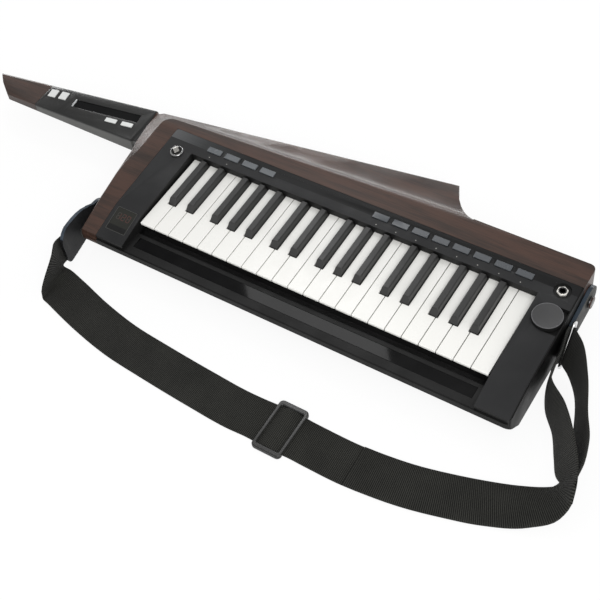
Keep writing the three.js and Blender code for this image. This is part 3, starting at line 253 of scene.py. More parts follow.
def metal_look(name, color, roughness, metallic=1.0):
    """Metal whose gloss and tone change a little from place to place."""
    look = Look(name, color, roughness, metallic)
    body = look.vector()
    wear = look.noise(body, scale=160.0)
    look.rough(look.grey(wear, low=roughness * 0.7, high=roughness * 1.5))
    stains = look.noise(body, scale=55.0, detail=3.0)
    look.color(look.ramp(stains, [(0.3, mixed(color, BLACK, 0.12)), (0.7, color)]))
    look.bump(look.noise(body, scale=500.0, detail=2.0), strength=0.12, distance=0.00003)
    return look.mat


def glow_look(name, color, strength):
    """A lit bar of the display."""
    look = Look(name, color, 0.4)
    look.set("Emission Color", (*color, 1.0))
    look.set("Emission Strength", strength)
    grain = look.noise(look.vector(), scale=700.0, detail=2.0)
    look.bump(grain, strength=0.1, distance=0.00002)
    return look.mat


# The rear band's painted reflection makes it pale at the first of these two places along the
# instrument and fades out by the second, in metres
BAND_PALE_END = -0.262
BAND_DARK_START = -0.150


def band_look():
    """The rear band: satin black, with a painted reflection that makes it paler towards its left
    end.
    """
    look = Look("band_black", (0.02, 0.02, 0.021), 0.42)
    look.set("Specular IOR Level", 0.22)
    body = look.vector()
    split = look.add("SeparateXYZ")
    look.link(body, split.inputs["Vector"])
    drift = look.noise(look.vector(scale=(1.0, 40.0, 40.0)), scale=30.0, detail=3.0)
    place = look.math("ADD", split.outputs["X"], look.math("MULTIPLY", drift, 0.02))
    share = look.grey(place, low=0.0, high=1.0, start=BAND_PALE_END, stop=BAND_DARK_START)
    # Painted reflection: the colour runs from pale at the band's left end to darker at its right
    # end
    look.color(look.ramp(share, [
        (0.0, (0.085, 0.087, 0.090)),
        (0.45, (0.026, 0.027, 0.028)),
        (1.0, (0.0040, 0.0040, 0.0043)),
    ]))
    look.rough(look.grey(drift, low=0.38, high=0.46))
    look.bump(look.noise(body, scale=1500.0, detail=2.0), strength=0.3, distance=0.00003)
    return look.mat


# How much of the light a black surface mirrors
DULL = {"Specular_IOR_Level": 0.22}
FLAT = {"Specular_IOR_Level": 0.09}
SATIN = {"Specular_IOR_Level": 0.27}

# Each speckled look gives its colour, its roughness, and the scale and the depth of its grain
WOOD = wood_look()
PANEL = speckled("panel_black", (0.0095, 0.0097, 0.0105), 0.42, 1500.0, 0.00003, **SATIN)
BAND = band_look()
SHELL = speckled("shell_black", (0.006, 0.006, 0.0058), 0.45, 1200.0, 0.00004, **FLAT)
# A darker black for recesses, side walls, the dial's side and the rings round the caps: painted
# shade
WELL_PAINTED_SHADE = speckled("well_painted_shade", (0.005, 0.005, 0.005), 0.5, 1200.0, 0.00003, **DULL)
COVER = speckled("cover_black", (0.014, 0.014, 0.014), 0.6, 700.0, 0.00012)
NECK = speckled("neck_metal", (0.015, 0.015, 0.0146), 0.36, 1500.0, 0.00002, **SATIN)
# The neck's side takes a paler copy of the neck metal: a painted reflection of the bright room
NECK_SIDE_PAINTED_REFLECTION = speckled("neck_side_painted_reflection", (0.054, 0.054, 0.050), 0.32, 1500.0, 0.00002)
TOUCH = speckled("touch_gloss", (0.0020, 0.0020, 0.0022), 0.04, 400.0, 0.000004, **FLAT)
FILM = speckled("film_black", (0.0022, 0.0023, 0.0026), 0.2, 400.0, 0.00001, **FLAT)
TRIM = speckled("trim_grey", (0.042, 0.042, 0.040), 0.4, 900.0, 0.00002)
GLASS = speckled("window_gloss", (0.0170, 0.0172, 0.0140), 0.12, 400.0, 0.00001, **DULL)
IVORY = speckled("key_white", (0.80, 0.795, 0.765), 0.3, 300.0, 0.00002, spread=0.03)
EBONY = speckled("key_black", (0.014, 0.014, 0.0137), 0.34, 1800.0, 0.00006)
SMOKED = speckled("cap_smoked", (0.062, 0.068, 0.076), 0.30, 900.0, 0.00003)
# A paler, lit copy of the smoked caps for the function buttons: painted light
SMOKED_PAINTED_LIGHT = speckled("cap_smoked_painted_light", (0.100, 0.109, 0.118), 0.30, 900.0, 0.00003)
WHITE_CAP = speckled("cap_white", (0.66, 0.67, 0.66), 0.35, 900.0, 0.00003, spread=0.05)
DIAL = speckled("dial_grey", (0.030, 0.030, 0.031), 0.46, 1600.0, 0.00004)
# A pale grey for the line round the dial's top: a painted highlight
DIAL_RIM_HIGHLIGHT = speckled("dial_rim", (0.10, 0.10, 0.105), 0.35, 1600.0, 0.00002)
BUCKLE = speckled("buckle_grey", (0.011, 0.011, 0.0105), 0.28, 900.0, 0.00006)
CHROME = metal_look("polished_metal", (0.80, 0.80, 0.80), 0.12)
STEEL = metal_look("nut_steel", (0.86, 0.84, 0.79), 0.30, 0.55)
RING_METAL = metal_look("ring_metal", (0.30, 0.30, 0.30), 0.22)
DARK_METAL = metal_look("dark_metal", (0.07, 0.07, 0.072), 0.25)
WEBBING = webbing_look()
LEATHER = leather_look("tab_leather_grain", (0.013, 0.0135, 0.0145), 0.5)
# A paler copy of the tab leather for the right tab's outer side: painted light
LEATHER_LIT_SIDE = leather_look("tab_leather_painted_light", (0.026, 0.026, 0.023), 0.55)
LEATHER_EDGE = leather_look("tab_edge_bluish", (0.040, 0.054, 0.072), 0.38)
DARK_HOLE = speckled("hole_black", (0.003, 0.003, 0.003), 0.5, 800.0, 0.00003, **DULL)
SILVER = metal_look("silver_bar", (0.62, 0.63, 0.64), 0.3)
RED_ON = glow_look("segment_lit", (0.060, 0.016, 0.012), 0.08)
RED_OFF = speckled("segment_dark", (0.026, 0.020, 0.016), 0.4, 900.0, 0.00002)
LAMP = speckled("lamp_clear", (0.32, 0.31, 0.29), 0.3, 900.0, 0.00002)


# Limits of the mesh helpers, in mm and degrees
SHARP_ANGLE = 32.0
BAND_SHARP_ANGLE = 60.0
BEVEL_ANGLE = 30.0
FLAT_ANGLE = 0.6
WELD = 0.004
CUT_NEAR = 0.0001


def add_object(name, mesh, *mats):
    obj = bpy.data.objects.new(name, mesh)
    bpy.context.scene.collection.objects.link(obj)
    for mat in mats:
        mesh.materials.append(mat)
    return obj


def smooth(obj, angle):
    for face in obj.data.polygons:
        face.use_smooth = True
    obj.data.set_sharp_from_angle(angle=math.radians(angle))


def bevel(obj, width, segments=2, angle=BEVEL_ANGLE):
    """Rounds the edges that are sharper than the angle."""
    mod = obj.modifiers.new("round", "BEVEL")
    mod.width = width * MM
    mod.segments = segments
    mod.limit_method = "ANGLE"
    mod.angle_limit = math.radians(angle)
    mod.use_clamp_overlap = True
    mod.harden_normals = True
    mod.miter_outer = "MITER_ARC"


def in_source(spot):
    """A place in the frame's metres, in the source's mm."""
    return spot / MM - KEY_CORNER


def cut(shape, parts, spot, normal):
    """Adds edges where a plane through a place in the source crosses the parts."""
    bmesh.ops.bisect_plane(shape, geom=parts, dist=CUT_NEAR * MM, plane_co=at(*spot),
                           plane_no=Vector(normal))


def zoned(mesh, mats, cuts, choose):
    """Cuts the mesh along planes and gives each face the material that its place asks for."""
    shape = bmesh.new()
    shape.from_mesh(mesh)
    for spot, normal in cuts:
        cut(shape, list(shape.verts) + list(shape.edges) + list(shape.faces), spot, normal)
    for face in shape.faces:
        spot = in_source(face.calc_center_median())
        face.material_index = mats.index(choose(spot, face.normal))
    shape.to_mesh(mesh)
    shape.free()


def finish_piece(obj, body, angle=SHARP_ANGLE):
    smooth(obj, angle)
    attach(obj, body)
    return obj


def refined(node, mats, round_edge, segments=2, angle=BEVEL_ANGLE, body=ROOT,
            flat=True, cuts=(), choose=None, reshape=None):
    """A copy of a CAD node with clean faces and rounded edges, which stands for the node."""
    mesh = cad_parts[node].data.copy()
    mesh.materials.clear()
    shape = bmesh.new()
    shape.from_mesh(mesh)
    bmesh.ops.remove_doubles(shape, verts=shape.verts, dist=WELD * MM)
    if flat:
        bmesh.ops.dissolve_limit(shape, angle_limit=math.radians(FLAT_ANGLE), verts=shape.verts,
                                 edges=shape.edges)
    if reshape:
        reshape(shape)
    shape.to_mesh(mesh)
    shape.free()
    if choose:
        zoned(mesh, mats, cuts, choose)
    obj = add_object(node + "_skin", mesh, *mats)
    bevel(obj, round_edge, segments, angle)
    finish_piece(obj, body)
    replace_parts(obj, node)


def put_together(name, build, mat, place, body=ROOT, round_edge=0.0, angle=SHARP_ANGLE):
    """A piece that build makes in a new mesh, with its faces turned outwards, set by a matrix."""
    shape = bmesh.new()
    build(shape)
    bmesh.ops.recalc_face_normals(shape, faces=shape.faces)
    bmesh.ops.transform(shape, matrix=place, verts=shape.verts)
    mesh = bpy.data.meshes.new(name)
    shape.to_mesh(mesh)
    shape.free()
    obj = add_object(name, mesh, mat)
    if round_edge:
        bevel(obj, round_edge)
    return finish_piece(obj, body, angle)


def loop_verts(shape, points, height):
    return [shape.verts.new(Vector((x, y, height)) * MM) for x, y in points]


def wall(shape, low, high):
    """Faces between two closed rows of as many points."""
    count = len(low)
    for i in range(count):
        j = (i + 1) % count
        shape.faces.new((low[i], low[j], high[j], high[i]))


def prisms(name, outlines, mat, place, low, high, round_edge=0.0):
    """Flat outlines, raised from low to high."""
    def build(shape):
        for points in outlines:
            base = loop_verts(shape, points, low)
            top = loop_verts(shape, points, high)
            shape.faces.new(list(reversed(base)))
            shape.faces.new(top)
            wall(shape, base, top)
    put_together(name, build, mat, place, round_edge=round_edge)


def frames(name, pairs, mat, place, low, high, round_edge):
    """Flat frames, each between an outer and an inner outline of as many points."""
    def build(shape):
        for outer, inner in pairs:
            corners = ((outer, low), (outer, high), (inner, high), (inner, low))
            loops = [loop_verts(shape, points, height) for points, height in corners]
            for here, following in zip(loops, loops[1:] + loops[:1]):
                wall(shape, here, following)
    return put_together(name, build, mat, place, round_edge=round_edge)


def shifted(points, x, y=0.0):
    return [(px + x, py + y) for px, py in points]


def box_points(width, depth):
    x, y = width / 2, depth / 2
    return [(-x, -y), (x, -y), (x, y), (-x, y)]


def round_points(width, depth, radius, steps=4):
    x, y = width / 2 - radius, depth / 2 - radius
    points = []
    for k, (cx, cy) in enumerate([(x, y), (-x, y), (-x, -y), (x, -y)]):
        for i in range(steps + 1):
            angle = math.pi / 2 * (k + i / steps)
            points.append((cx + radius * math.cos(angle), cy + radius * math.sin(angle)))
    return points


def circle(radius, sides):
    turns = [2 * math.pi * i / sides for i in range(sides)]
    return [(radius * math.cos(turn), radius * math.sin(turn)) for turn in turns]


def lathe(name, profile, mat, place, body=ROOT, sides=64):
    """Turned about Z from pairs of radius and height. A radius of 0 closes the form."""
    def build(shape):
        rings = [loop_verts(shape, circle(radius, sides) if radius else [(0, 0)], height)
                 for radius, height in profile]
        for a, b in zip(rings, rings[1:]):
            for i in range(sides):
                j = (i + 1) % sides
                corners = (a[i % len(a)], a[j % len(a)], b[j % len(b)], b[i % len(b)])
                unique = list(dict.fromkeys(corners))
                if len(unique) > 2:
                    shape.faces.new(unique)
    put_together(name, build, mat, place, body)


def moved(spot, tilt=0.0, spin=0.0):
    """Placing matrix: turned about Z by spin, then tilted about X, in radians."""
    return (Matrix.Translation(spot) @ Matrix.Rotation(tilt, 4, "X")
            @ Matrix.Rotation(spin, 4, "Z"))


# Places along the panel's section, from front to back, and the height of its face there
LEVELS = [(-36.5, -6.4), (8.0, 4.2), (112.5, 10.2), (122.6, 10.9), (138.8, 12.0)]


def level(y):
    """Height of the panel's face."""
    for (y0, z0), (y1, z1) in zip(LEVELS, LEVELS[1:]):
        if y <= y1:
            return z0 + (z1 - z0) * (y - y0) / (y1 - y0)
    return LEVELS[-1][1]


# Tilts of the cheeks' front facet, of the face beside the keys and of the rear band
FACET_TILT = math.atan2(10.6, 44.5)
FACE_TILT = math.atan2(6.0, 104.5)
BAND_TILT = math.atan2(1.1, 16.2)

# The body's right end, the panel's left and back edges, and where the rear band begins
BODY_RIGHT = 498.5
PANEL_LEFT = -41.0
PANEL_BACK = 138.8
BAND_FRONT = 125.2

# The seam between body and neck plate, the turn of the neck, and the seam before its wooden tip
SEAM_FRONT = Vector((-84.5, 104.5, 0))
SEAM_BACK = Vector((-93.6, 163.37, 0))
SEAM_NORMAL = Vector((58.87, 9.1, 0)).normalized()
NECK_TURN = math.atan(0.1466)
TIP_SEAM = -248.0
HALF_GROOVE = 0.35

# Places of the parts on the panel
BUTTON_Y = 127.3
KNOB_SPOT = (-20.0, 107.0)
KNOB_SPIN = Matrix.Rotation(math.radians(240), 4, "Z")
DIAL_SPOT = (479.4, 87.8)
DIAL_TOP = 12.6
JACK_SPOT = (479.4, 125.4)
BAND_PLACE = moved(at(0, BUTTON_Y, level(BUTTON_Y)), BAND_TILT)
KNOB_PLACE = moved(at(*KNOB_SPOT, level(KNOB_SPOT[1])), FACE_TILT)

# Limits for the material that a face takes. These are upward shares of its direction
UPWARD = 0.9
SIDEWARD = 0.3
DIAL_UPWARD = 0.7
BORE_UPWARD = 0.5

# These are radius and top of the dial's cup, of the jack's well and of the knob's hollow skirt,
# the radius of the jack's bore, and heights of the jack's rim, the pointer and the cheeks' foot
DIAL_CUP = (19.3, 8.6)
JACK_WELL = (10.3, 10.4)
SKIRT_HOLLOW = (6.7, 2.4)
JACK_BORE = 3.6
JACK_RIM = 11.5
POINTER_BASE = 2.8
CHEEK_FOOT = -12.0


def from_seam(spot):
    """How far a place lies to the right of the seam between body and neck."""
    return (Vector((spot.x, spot.y, 0)) - SEAM_FRONT).dot(SEAM_NORMAL)


def around(spot, middle):
    """How far a place lies from an upright axis."""
    return math.hypot(spot.x - middle[0], spot.y - middle[1])


def body_zone(spot, normal):
    seam = from_seam(spot)
    if abs(spot.x - TIP_SEAM) < HALF_GROOVE or abs(seam) < HALF_GROOVE:
        return DARK_HOLE
    if seam < 0:
        # Painted reflection: the neck's side, left of the seam, takes the paler copy of the neck
        # metal
        return NECK_SIDE_PAINTED_REFLECTION if spot.x > TIP_SEAM else WOOD
    if spot.x > PANEL_LEFT and spot.y < PANEL_BACK and normal.z > -UPWARD:
        return SHELL
    return WOOD


def within(spot, middle, size):
    """Is a place inside an upright cylinder, given by its radius and its top?"""
    radius, top = size
    return around(spot, middle) < radius and spot.z < top


def panel_zone(spot, normal):
    # Painted shade: the dial's and the jack's recesses take the darker black
    if within(spot, DIAL_SPOT, DIAL_CUP) or within(spot, JACK_SPOT, JACK_WELL):
        return WELL_PAINTED_SHADE
    if normal.z > UPWARD and spot.y > BAND_FRONT:
        return BAND
    # Painted shade: the panel's side walls and its foot take the darker black
    if normal.z < SIDEWARD or spot.z < CHEEK_FOOT:
        return WELL_PAINTED_SHADE
    return PANEL


def knob_zone(spot, normal):
    here = KNOB_PLACE.inverted() @ at(*spot) / MM
    if here.z > POINTER_BASE:
        return STEEL
    return DARK_HOLE if within(here, (0, 0), SKIRT_HOLLOW) else RING_METAL


def dial_zone(spot, normal):
    # Painted shade: the dial's side takes the darker black
    return DIAL if normal.z > DIAL_UPWARD else WELL_PAINTED_SHADE


def jack_zone(spot, normal):
    bore = around(spot, JACK_SPOT) < JACK_BORE and abs(normal.z) < BORE_UPWARD
    return DARK_METAL if spot.z > JACK_RIM or bore else STEEL


# The flank behind the crest is hollow: steep at the crest, where it catches the light, and
# nearly flat at the fin's rim. Both lines are known at two places along the keys
CREST_ENDS = (Vector((-51.5, 152.8, 0)), Vector((270.0, 167.7, 0)))
RIM_ENDS = (Vector((-51.5, 167.5, 0)), Vector((270.0, 214.7, 0)))
FLANK_LEFT = -52.0
CREST_MARGIN = 0.5
FLANK_UPWARD = 0.6
FLANK_BACKWARD = 0.12
LOOSE_BACKWARD = 0.05

# The mesh is cut across the keys at these places and along them at these shares of the flank
CROSS_CUTS = [-45.0 + 12.0 * i for i in range(33)]
HOLLOW_STEPS = (0.05, 0.11, 0.18, 0.27, 0.38, 0.52, 0.7)

# How deep the hollow is and how soon it bends, as shares of the flank's width, first at its left
# end and then beyond HOLLOW_CHANGE. It fades in over HOLLOW_FADE
HOLLOW_SHARES = (0.40, 0.175)
HOLLOW_REACHES = (0.32, 0.17)
HOLLOW_CHANGE = 190.0
HOLLOW_FADE = 45.0


def limited(share):
    return max(0.0, min(1.0, share))


def line_y(ends, x):
    """Where a line between two ends passes, at a place along the keys."""
    share = (x - ends[0].x) / (ends[1].x - ends[0].x)
    return ends[0].y + (ends[1].y - ends[0].y) * share


def flank_parts(shape):
    """Faces, edges and corners of the flank behind the crest."""
    parts = set()
    for face in shape.faces:
        spot = in_source(face.calc_center_median())
        behind = spot.y > line_y(CREST_ENDS, spot.x) - CREST_MARGIN
        tilted = face.normal.z > FLANK_UPWARD and face.normal.y > FLANK_BACKWARD
        if tilted and behind and spot.x > FLANK_LEFT:
            parts.update([face, *face.edges, *face.verts])
    return list(parts)


def hollow_depth(spot):
    """How far the flank lies under the straight line from the crest to the rim, in mm."""
    crest, rim = line_y(CREST_ENDS, spot.x), line_y(RIM_ENDS, spot.x)
    step = limited((spot.y - crest) / (rim - crest))
    from_left = spot.x - CREST_ENDS[0].x
    along = limited(from_left / HOLLOW_CHANGE)
    share, reach = (a + (b - a) * along for a, b in (HOLLOW_SHARES, HOLLOW_REACHES))
    bend = 1 - math.exp(-step / reach)
    chord = step * (1 - math.exp(-1 / reach))
    fade = limited(from_left / HOLLOW_FADE)
    fade = fade * fade * (3 - 2 * fade)
    return (bend - chord) * share * (rim - crest) * fade


def hollowed(shape):
    """The body with its flank hollowed. Faces that no longer are flat become triangles."""
    for x in CROSS_CUTS:
        cut(shape, flank_parts(shape), (x, 0, 0), (1, 0, 0))
    for step in HOLLOW_STEPS:
        left, right = (crest.lerp(rim, step) for crest, rim in zip(CREST_ENDS, RIM_ENDS))
        run = (right - left).normalized()
        cut(shape, flank_parts(shape), left, (-run.y, run.x, 0))
    for part in flank_parts(shape):
        if isinstance(part, bmesh.types.BMVert):
            part.co.z -= hollow_depth(in_source(part.co)) * MM
    loose = [face for face in shape.faces if len(face.verts) > 4
             and face.normal.y > LOOSE_BACKWARD and face.normal.z > FLANK_UPWARD]
    bmesh.ops.triangulate(shape, faces=loose)


# What stays of the nut's width, the radius inside which nothing moves, and the nut's foot
NUT_SHARE = 0.86
NUT_INSIDE = 6.3
NUT_FOOT = 8.0


def nut_trimmed(shape):
    """The nut in the photograph is a little smaller across than the solid's."""
    for vert in shape.verts:
        spot = in_source(vert.co)
        if around(spot, JACK_SPOT) > NUT_INSIDE and spot.z > NUT_FOOT:
            x, y = (middle + (here - middle) * NUT_SHARE for here, middle in zip(spot, JACK_SPOT))
            vert.co.xy = at(x, y, 0).xy


# Half the length and half the width of the room round the knob's pointer, the pointer's foot,
# and what stays of its length and width
POINTER_ROOM = (5.3, 2.3)
POINTER_FOOT = 1.2
POINTER_SHARES = (0.70, 0.40)


def pointer_slimmed(shape):
    """The raised pointer is a slim lever, shorter and narrower than the solid's."""
    for vert in shape.verts:
        here = KNOB_SPIN.inverted() @ KNOB_PLACE.inverted() @ vert.co / MM
        inside = abs(here.x) < POINTER_ROOM[0] and abs(here.y) < POINTER_ROOM[1]
        if inside and here.z > POINTER_FOOT:
            here.x *= POINTER_SHARES[0]
            here.y *= POINTER_SHARES[1]
            vert.co = KNOB_PLACE @ KNOB_SPIN @ (here * MM)


# The fold across the right cheek: its place, its left end, and how far its curve reaches
FOLD_Y, FOLD_HEIGHT = LEVELS[1]
FOLD_LEFT = 457.0
FOLD_REACH = 14.0
FOLD_STEPS = 8
FOLD_NEAR = 0.3


def on_fold(spot):
    near = abs(spot.y - FOLD_Y) < FOLD_NEAR and abs(spot.z - FOLD_HEIGHT) < FOLD_NEAR
    return near and spot.x > FOLD_LEFT


def fold_rounded(shape):
    """The fold is a long soft curve."""
    picked = [edge for edge in shape.edges if all(on_fold(in_source(v.co)) for v in edge.verts)]
    bmesh.ops.bevel(shape, geom=picked, offset=FOLD_REACH * MM, offset_type="OFFSET",
                    segments=FOLD_STEPS, profile=0.5, affect="EDGES")


KEYS = (("white_key", 22, IVORY, 0.45), ("black_key", 15, EBONY, 0.5))
BUTTONS = 4

body_cuts = [((TIP_SEAM + side * HALF_GROOVE, 0, 0), (1, 0, 0)) for side in (-1, 1)]
body_cuts += [(SEAM_FRONT + SEAM_NORMAL * (side * HALF_GROOVE), SEAM_NORMAL) for side in (-1, 1)]
body_cuts += [((PANEL_LEFT, 0, 0), (1, 0, 0)), ((0, PANEL_BACK, 0), (0, 1, 0))]
refined("body_shell", (WOOD, SHELL, NECK_SIDE_PAINTED_REFLECTION, DARK_HOLE), round_edge=1.3, segments=3,
        angle=24.0, cuts=body_cuts, choose=body_zone, reshape=hollowed)
refined("back_cover", (COVER,), round_edge=0.8)
refined("control_panel", (PANEL, BAND, WELL_PAINTED_SHADE), round_edge=0.55,
        cuts=[((0, BAND_FRONT, 0), (0, 1, 0))], choose=panel_zone, reshape=fold_rounded)
refined("neck_panel", (NECK,), round_edge=0.3, flat=False)
refined("long_ribbon", (TOUCH,), round_edge=0.2)
refined("display_window", (GLASS,), round_edge=0.25)

for kind, count, mat, round_edge in KEYS:
    for i in range(1, count + 1):
        name = f"{kind}_{i}"
        refined(name, (mat,), round_edge, body=name)

for i in range(1, BUTTONS + 1):
    name = f"function_button_{i}"
    # The function caps take the lit copy of the smoked caps: painted light
    refined(name, (SMOKED_PAINTED_LIGHT,), round_edge=0.45, segments=3, body=name)
    name = f"neck_button_{i}"
    refined(name, (WHITE_CAP,), round_edge=0.4, segments=3, body=name)
refined("favourites_strip", (SMOKED,), round_edge=0.45, segments=3,
        body="favourites_strip")
refined("level_knob", (RING_METAL, DARK_HOLE, STEEL), round_edge=0.3,
        body="level_knob", choose=knob_zone, reshape=pointer_slimmed)
refined("value_dial", (DIAL, WELL_PAINTED_SHADE), round_edge=0.2, body="value_dial", choose=dial_zone)
refined("headphone_jack", (STEEL, DARK_METAL), round_edge=0.35,
        choose=jack_zone, reshape=nut_trimmed)

# Painted highlight: a pale line round the dial's top, where its edge catches the light
RIM_PROFILE = [
    (16.0, -0.2), (16.25, 0.02), (16.6, 0.0), (16.85, -0.35), (16.6, -0.5), (16.0, -0.2),
]
lathe("value_dial_rim", RIM_PROFILE, DIAL_RIM_HIGHLIGHT, moved(at(*DIAL_SPOT, DIAL_TOP)),
      body="value_dial")

# Small lamps before the buttons, and a dark ring round each cap that stands for the shaded gap
# there: painted shade
CAP_PITCH = 25.6
FIRST_FUNCTION_X = 23.7
LAST_FAVOURITE_X = 435.0
FAVOURITES = 8
FUNCTION_X = [FIRST_FUNCTION_X + CAP_PITCH * i for i in range(BUTTONS)]
FAVOURITE_X = [LAST_FAVOURITE_X - CAP_PITCH * (FAVOURITES - 1 - i) for i in range(FAVOURITES)]

# Only the first two function buttons have a lamp. Each lamp stands this far from its cap's middle
FUNCTION_LAMPS = 2
FUNCTION_LAMP = (-1.7, -10.4)
FAVOURITE_LAMP = (-0.3, -11.2)
LAMP_OUTLINE = round_points(1.4, 1.4, 0.68)
GAP_SHADE_OUTSIDE = round_points(20.9, 9.1, 0.8)
GAP_SHADE_INSIDE = round_points(19.8, 8.0, 0.3)

lamp_spots = [(x + FUNCTION_LAMP[0], FUNCTION_LAMP[1]) for x in FUNCTION_X[:FUNCTION_LAMPS]]
lamp_spots += [(x + FAVOURITE_LAMP[0], FAVOURITE_LAMP[1]) for x in FAVOURITE_X]
prisms("button_lamps", [shifted(LAMP_OUTLINE, *spot) for spot in lamp_spots], LAMP,
       BAND_PLACE, low=-0.3, high=0.16, round_edge=0.1)
gap_shades = [(shifted(GAP_SHADE_OUTSIDE, x), shifted(GAP_SHADE_INSIDE, x)) for x in FUNCTION_X + FAVOURITE_X]
# Painted shade: dark rings where the gaps round the caps lie
frames("button_gap_shades", gap_shades, WELL_PAINTED_SHADE, BAND_PLACE, low=-0.4, high=0.12, round_edge=0.05)

# Frame and sill of the display
DISPLAY_SPOT = (-21.5, -8.4)
DISPLAY_PLACE = moved(at(*DISPLAY_SPOT, level(DISPLAY_SPOT[1])), FACET_TILT)
DISPLAY_OUTSIDE = round_points(28.4, 31.4, 1.6)
DISPLAY_INSIDE = round_points(27.2, 30.2, 1.0)
SILL_OUTLINE = shifted(round_points(25.6, 6.4, 0.8), 0, -11.2)
frames("display_frame", [(DISPLAY_OUTSIDE, DISPLAY_INSIDE)], TRIM, DISPLAY_PLACE,
       low=-0.3, high=0.14, round_edge=0.06)
prisms("display_sill", [SILL_OUTLINE], DARK_HOLE, DISPLAY_PLACE, low=-0.2, high=0.03)

# The display's three figures: their middles, and the sizes and bars of each
FIGURE_SPOTS = [(-6.8, 4.6), (0.2, 4.6), (7.2, 4.6)]
FIGURE_HALF = 4.0
FIGURE_WIDTH = 4.2
FIGURE_BAR = 0.8
FIGURE_GAP = 0.3


def segment(x, y, width):
    """A lying bar with pointed ends."""
    tip, edge = width / 2, FIGURE_BAR / 2
    flat = tip - edge
    corners = [(-tip, 0), (-flat, edge), (flat, edge), (tip, 0), (flat, -edge), (-flat, -edge)]
    return shifted(corners, x, y)


def upright(x, y, width):
    """The same bar, turned by a quarter."""
    return [(x - (py - y), y + (px - x)) for px, py in segment(x, y, width)]


def figure(x, y):
    """The seven bars of a figure, from the top one round to the middle one."""
    aside, up = FIGURE_WIDTH / 2, FIGURE_HALF / 2
    side_bars = [upright(x + across, y + height, FIGURE_HALF - FIGURE_GAP)
                 for across, height in ((aside, up), (aside, -up), (-aside, -up), (-aside, up))]
    top, bottom, middle = (segment(x, y + height, FIGURE_WIDTH)
                           for height in (FIGURE_HALF, -FIGURE_HALF, 0))
    return [top, *side_bars[:2], bottom, *side_bars[2:], middle]


# Bars that are lit, figure by figure
LIT = ((1, 2), (0, 1, 3, 4, 6), (0, 1, 2, 3, 4, 5))
figures = [figure(*spot) for spot in FIGURE_SPOTS]
lit_bars = [bars[k] for bars, numbers in zip(figures, LIT) for k in numbers]
dark_bars = [bar for bars in figures for bar in bars if bar not in lit_bars]
prisms("display_figures_lit", lit_bars, RED_ON, DISPLAY_PLACE, low=-0.1, high=0.02)
prisms("display_figures_dark", dark_bars, RED_OFF, DISPLAY_PLACE, low=-0.1, high=0.01)


def neck_place(along, inset):
    """A place on the neck plate, from the back end of its seam, turned with the neck."""
    across = Vector((math.cos(NECK_TURN), math.sin(NECK_TURN), 0))
    back = Vector((-math.sin(NECK_TURN), math.cos(NECK_TURN), 0))
    spot = SEAM_BACK - across * along - back * inset
    return moved(at(*spot), 0.0, NECK_TURN)


# Film and end bar of the short touch strip
TOUCH_LENGTH = 98.0
TOUCH_START = 15.0
TOUCH_INSET = 15.6
TOUCH_WIDTH = 13.0
TOUCH_DEPTH = 1.2
TOUCH_MIDDLE = TOUCH_INSET + TOUCH_WIDTH / 2
FILM_OUTLINE = box_points(TOUCH_LENGTH - 0.4, TOUCH_WIDTH - 0.4)
END_OUTLINE = round_points(2.4, TOUCH_WIDTH - 0.2, 0.4)
END_INSET = 1.4
prisms("short_touch_film", [FILM_OUTLINE], FILM,
       neck_place(TOUCH_START + TOUCH_LENGTH / 2, TOUCH_MIDDLE),
       low=-TOUCH_DEPTH - 0.05, high=-TOUCH_DEPTH + 0.25)
prisms("short_touch_end", [END_OUTLINE], SILVER,
       neck_place(TOUCH_START + TOUCH_LENGTH - END_INSET, TOUCH_MIDDLE),
       low=-TOUCH_DEPTH, high=0.35, round_edge=0.15)

# Heads of the strap pins
PIN_PROFILE = [
    (0, 3.3), (2.6, 3.25), (5.0, 2.9), (6.5, 2.1), (7.1, 1.0), (7.1, 0.1), (6.0, -0.05), (0, -0.05),
]
PIN_SPOTS = {"left": (-76.8, 5.0, -19.5), "right": (503.9, 147.0, -19.5)}
for (name, spot), side in zip(PIN_SPOTS.items(), (-1, 1)):
    aim = Matrix.Translation(at(*spot)) @ Matrix.Rotation(side * math.pi / 2, 4, "Y")
    lathe(f"strap_pin_{name}", PIN_PROFILE, DARK_METAL, aim, sides=48)

# The strap: its width, one and two layers of webbing, its gap to the floor, how far it reaches
# forwards, and the height of the keys above the floor
WEB_WIDTH = 50.0
THIN = 1.8
DOUBLE = 4.2
LIFT = 0.5
REACH = 168.0
STAND = 48.0

# The course is the one that the strap's solids follow. Each station gives the inner edge in
# shares of BODY_RIGHT, REACH and STAND, then the outer edge's direction and the band's rise from
# the floor in degrees, and a share of the width where that isn't 1
MAIN = [
    (-0.1563, -0.1786, 0, 180, 82, 0.72), (-0.1563, -0.2619, 0, 180, 82, 0.72),
    (-0.1563, -0.3214, 0, 180, 84, 0.72), (-0.1563, -0.375, 0, 180, 85, 0.76),
    (-0.1563, -0.4095, 0, -66, 84, 0.86), (-0.1555, -0.4179, 0, -58, 66, 0.95),
    (-0.1535, -0.4244, 0, -67, 47), (-0.1497, -0.4268, 0, -76, 30), (-0.144, -0.4286, 0, -84, 13),
    (-0.1304, -0.43, 0, -93, 0), (-0.0843, -0.463, 0, -107, 0), (0.014, -0.545, 0, -103, 0),
    (0.1163, -0.607, 0, -98, 0), (0.2158, -0.636, 0, -95, 0), (0.3519, -0.666, 0, -93, 0),
    (0.4506, -0.681, 0, -91, 0),
]
FAR = [(0.6519, -0.678, 0, -89, 0), (0.7342, -0.6775, 0, -88, 0), (0.7723, -0.6705, 0.008, -86, 0)]
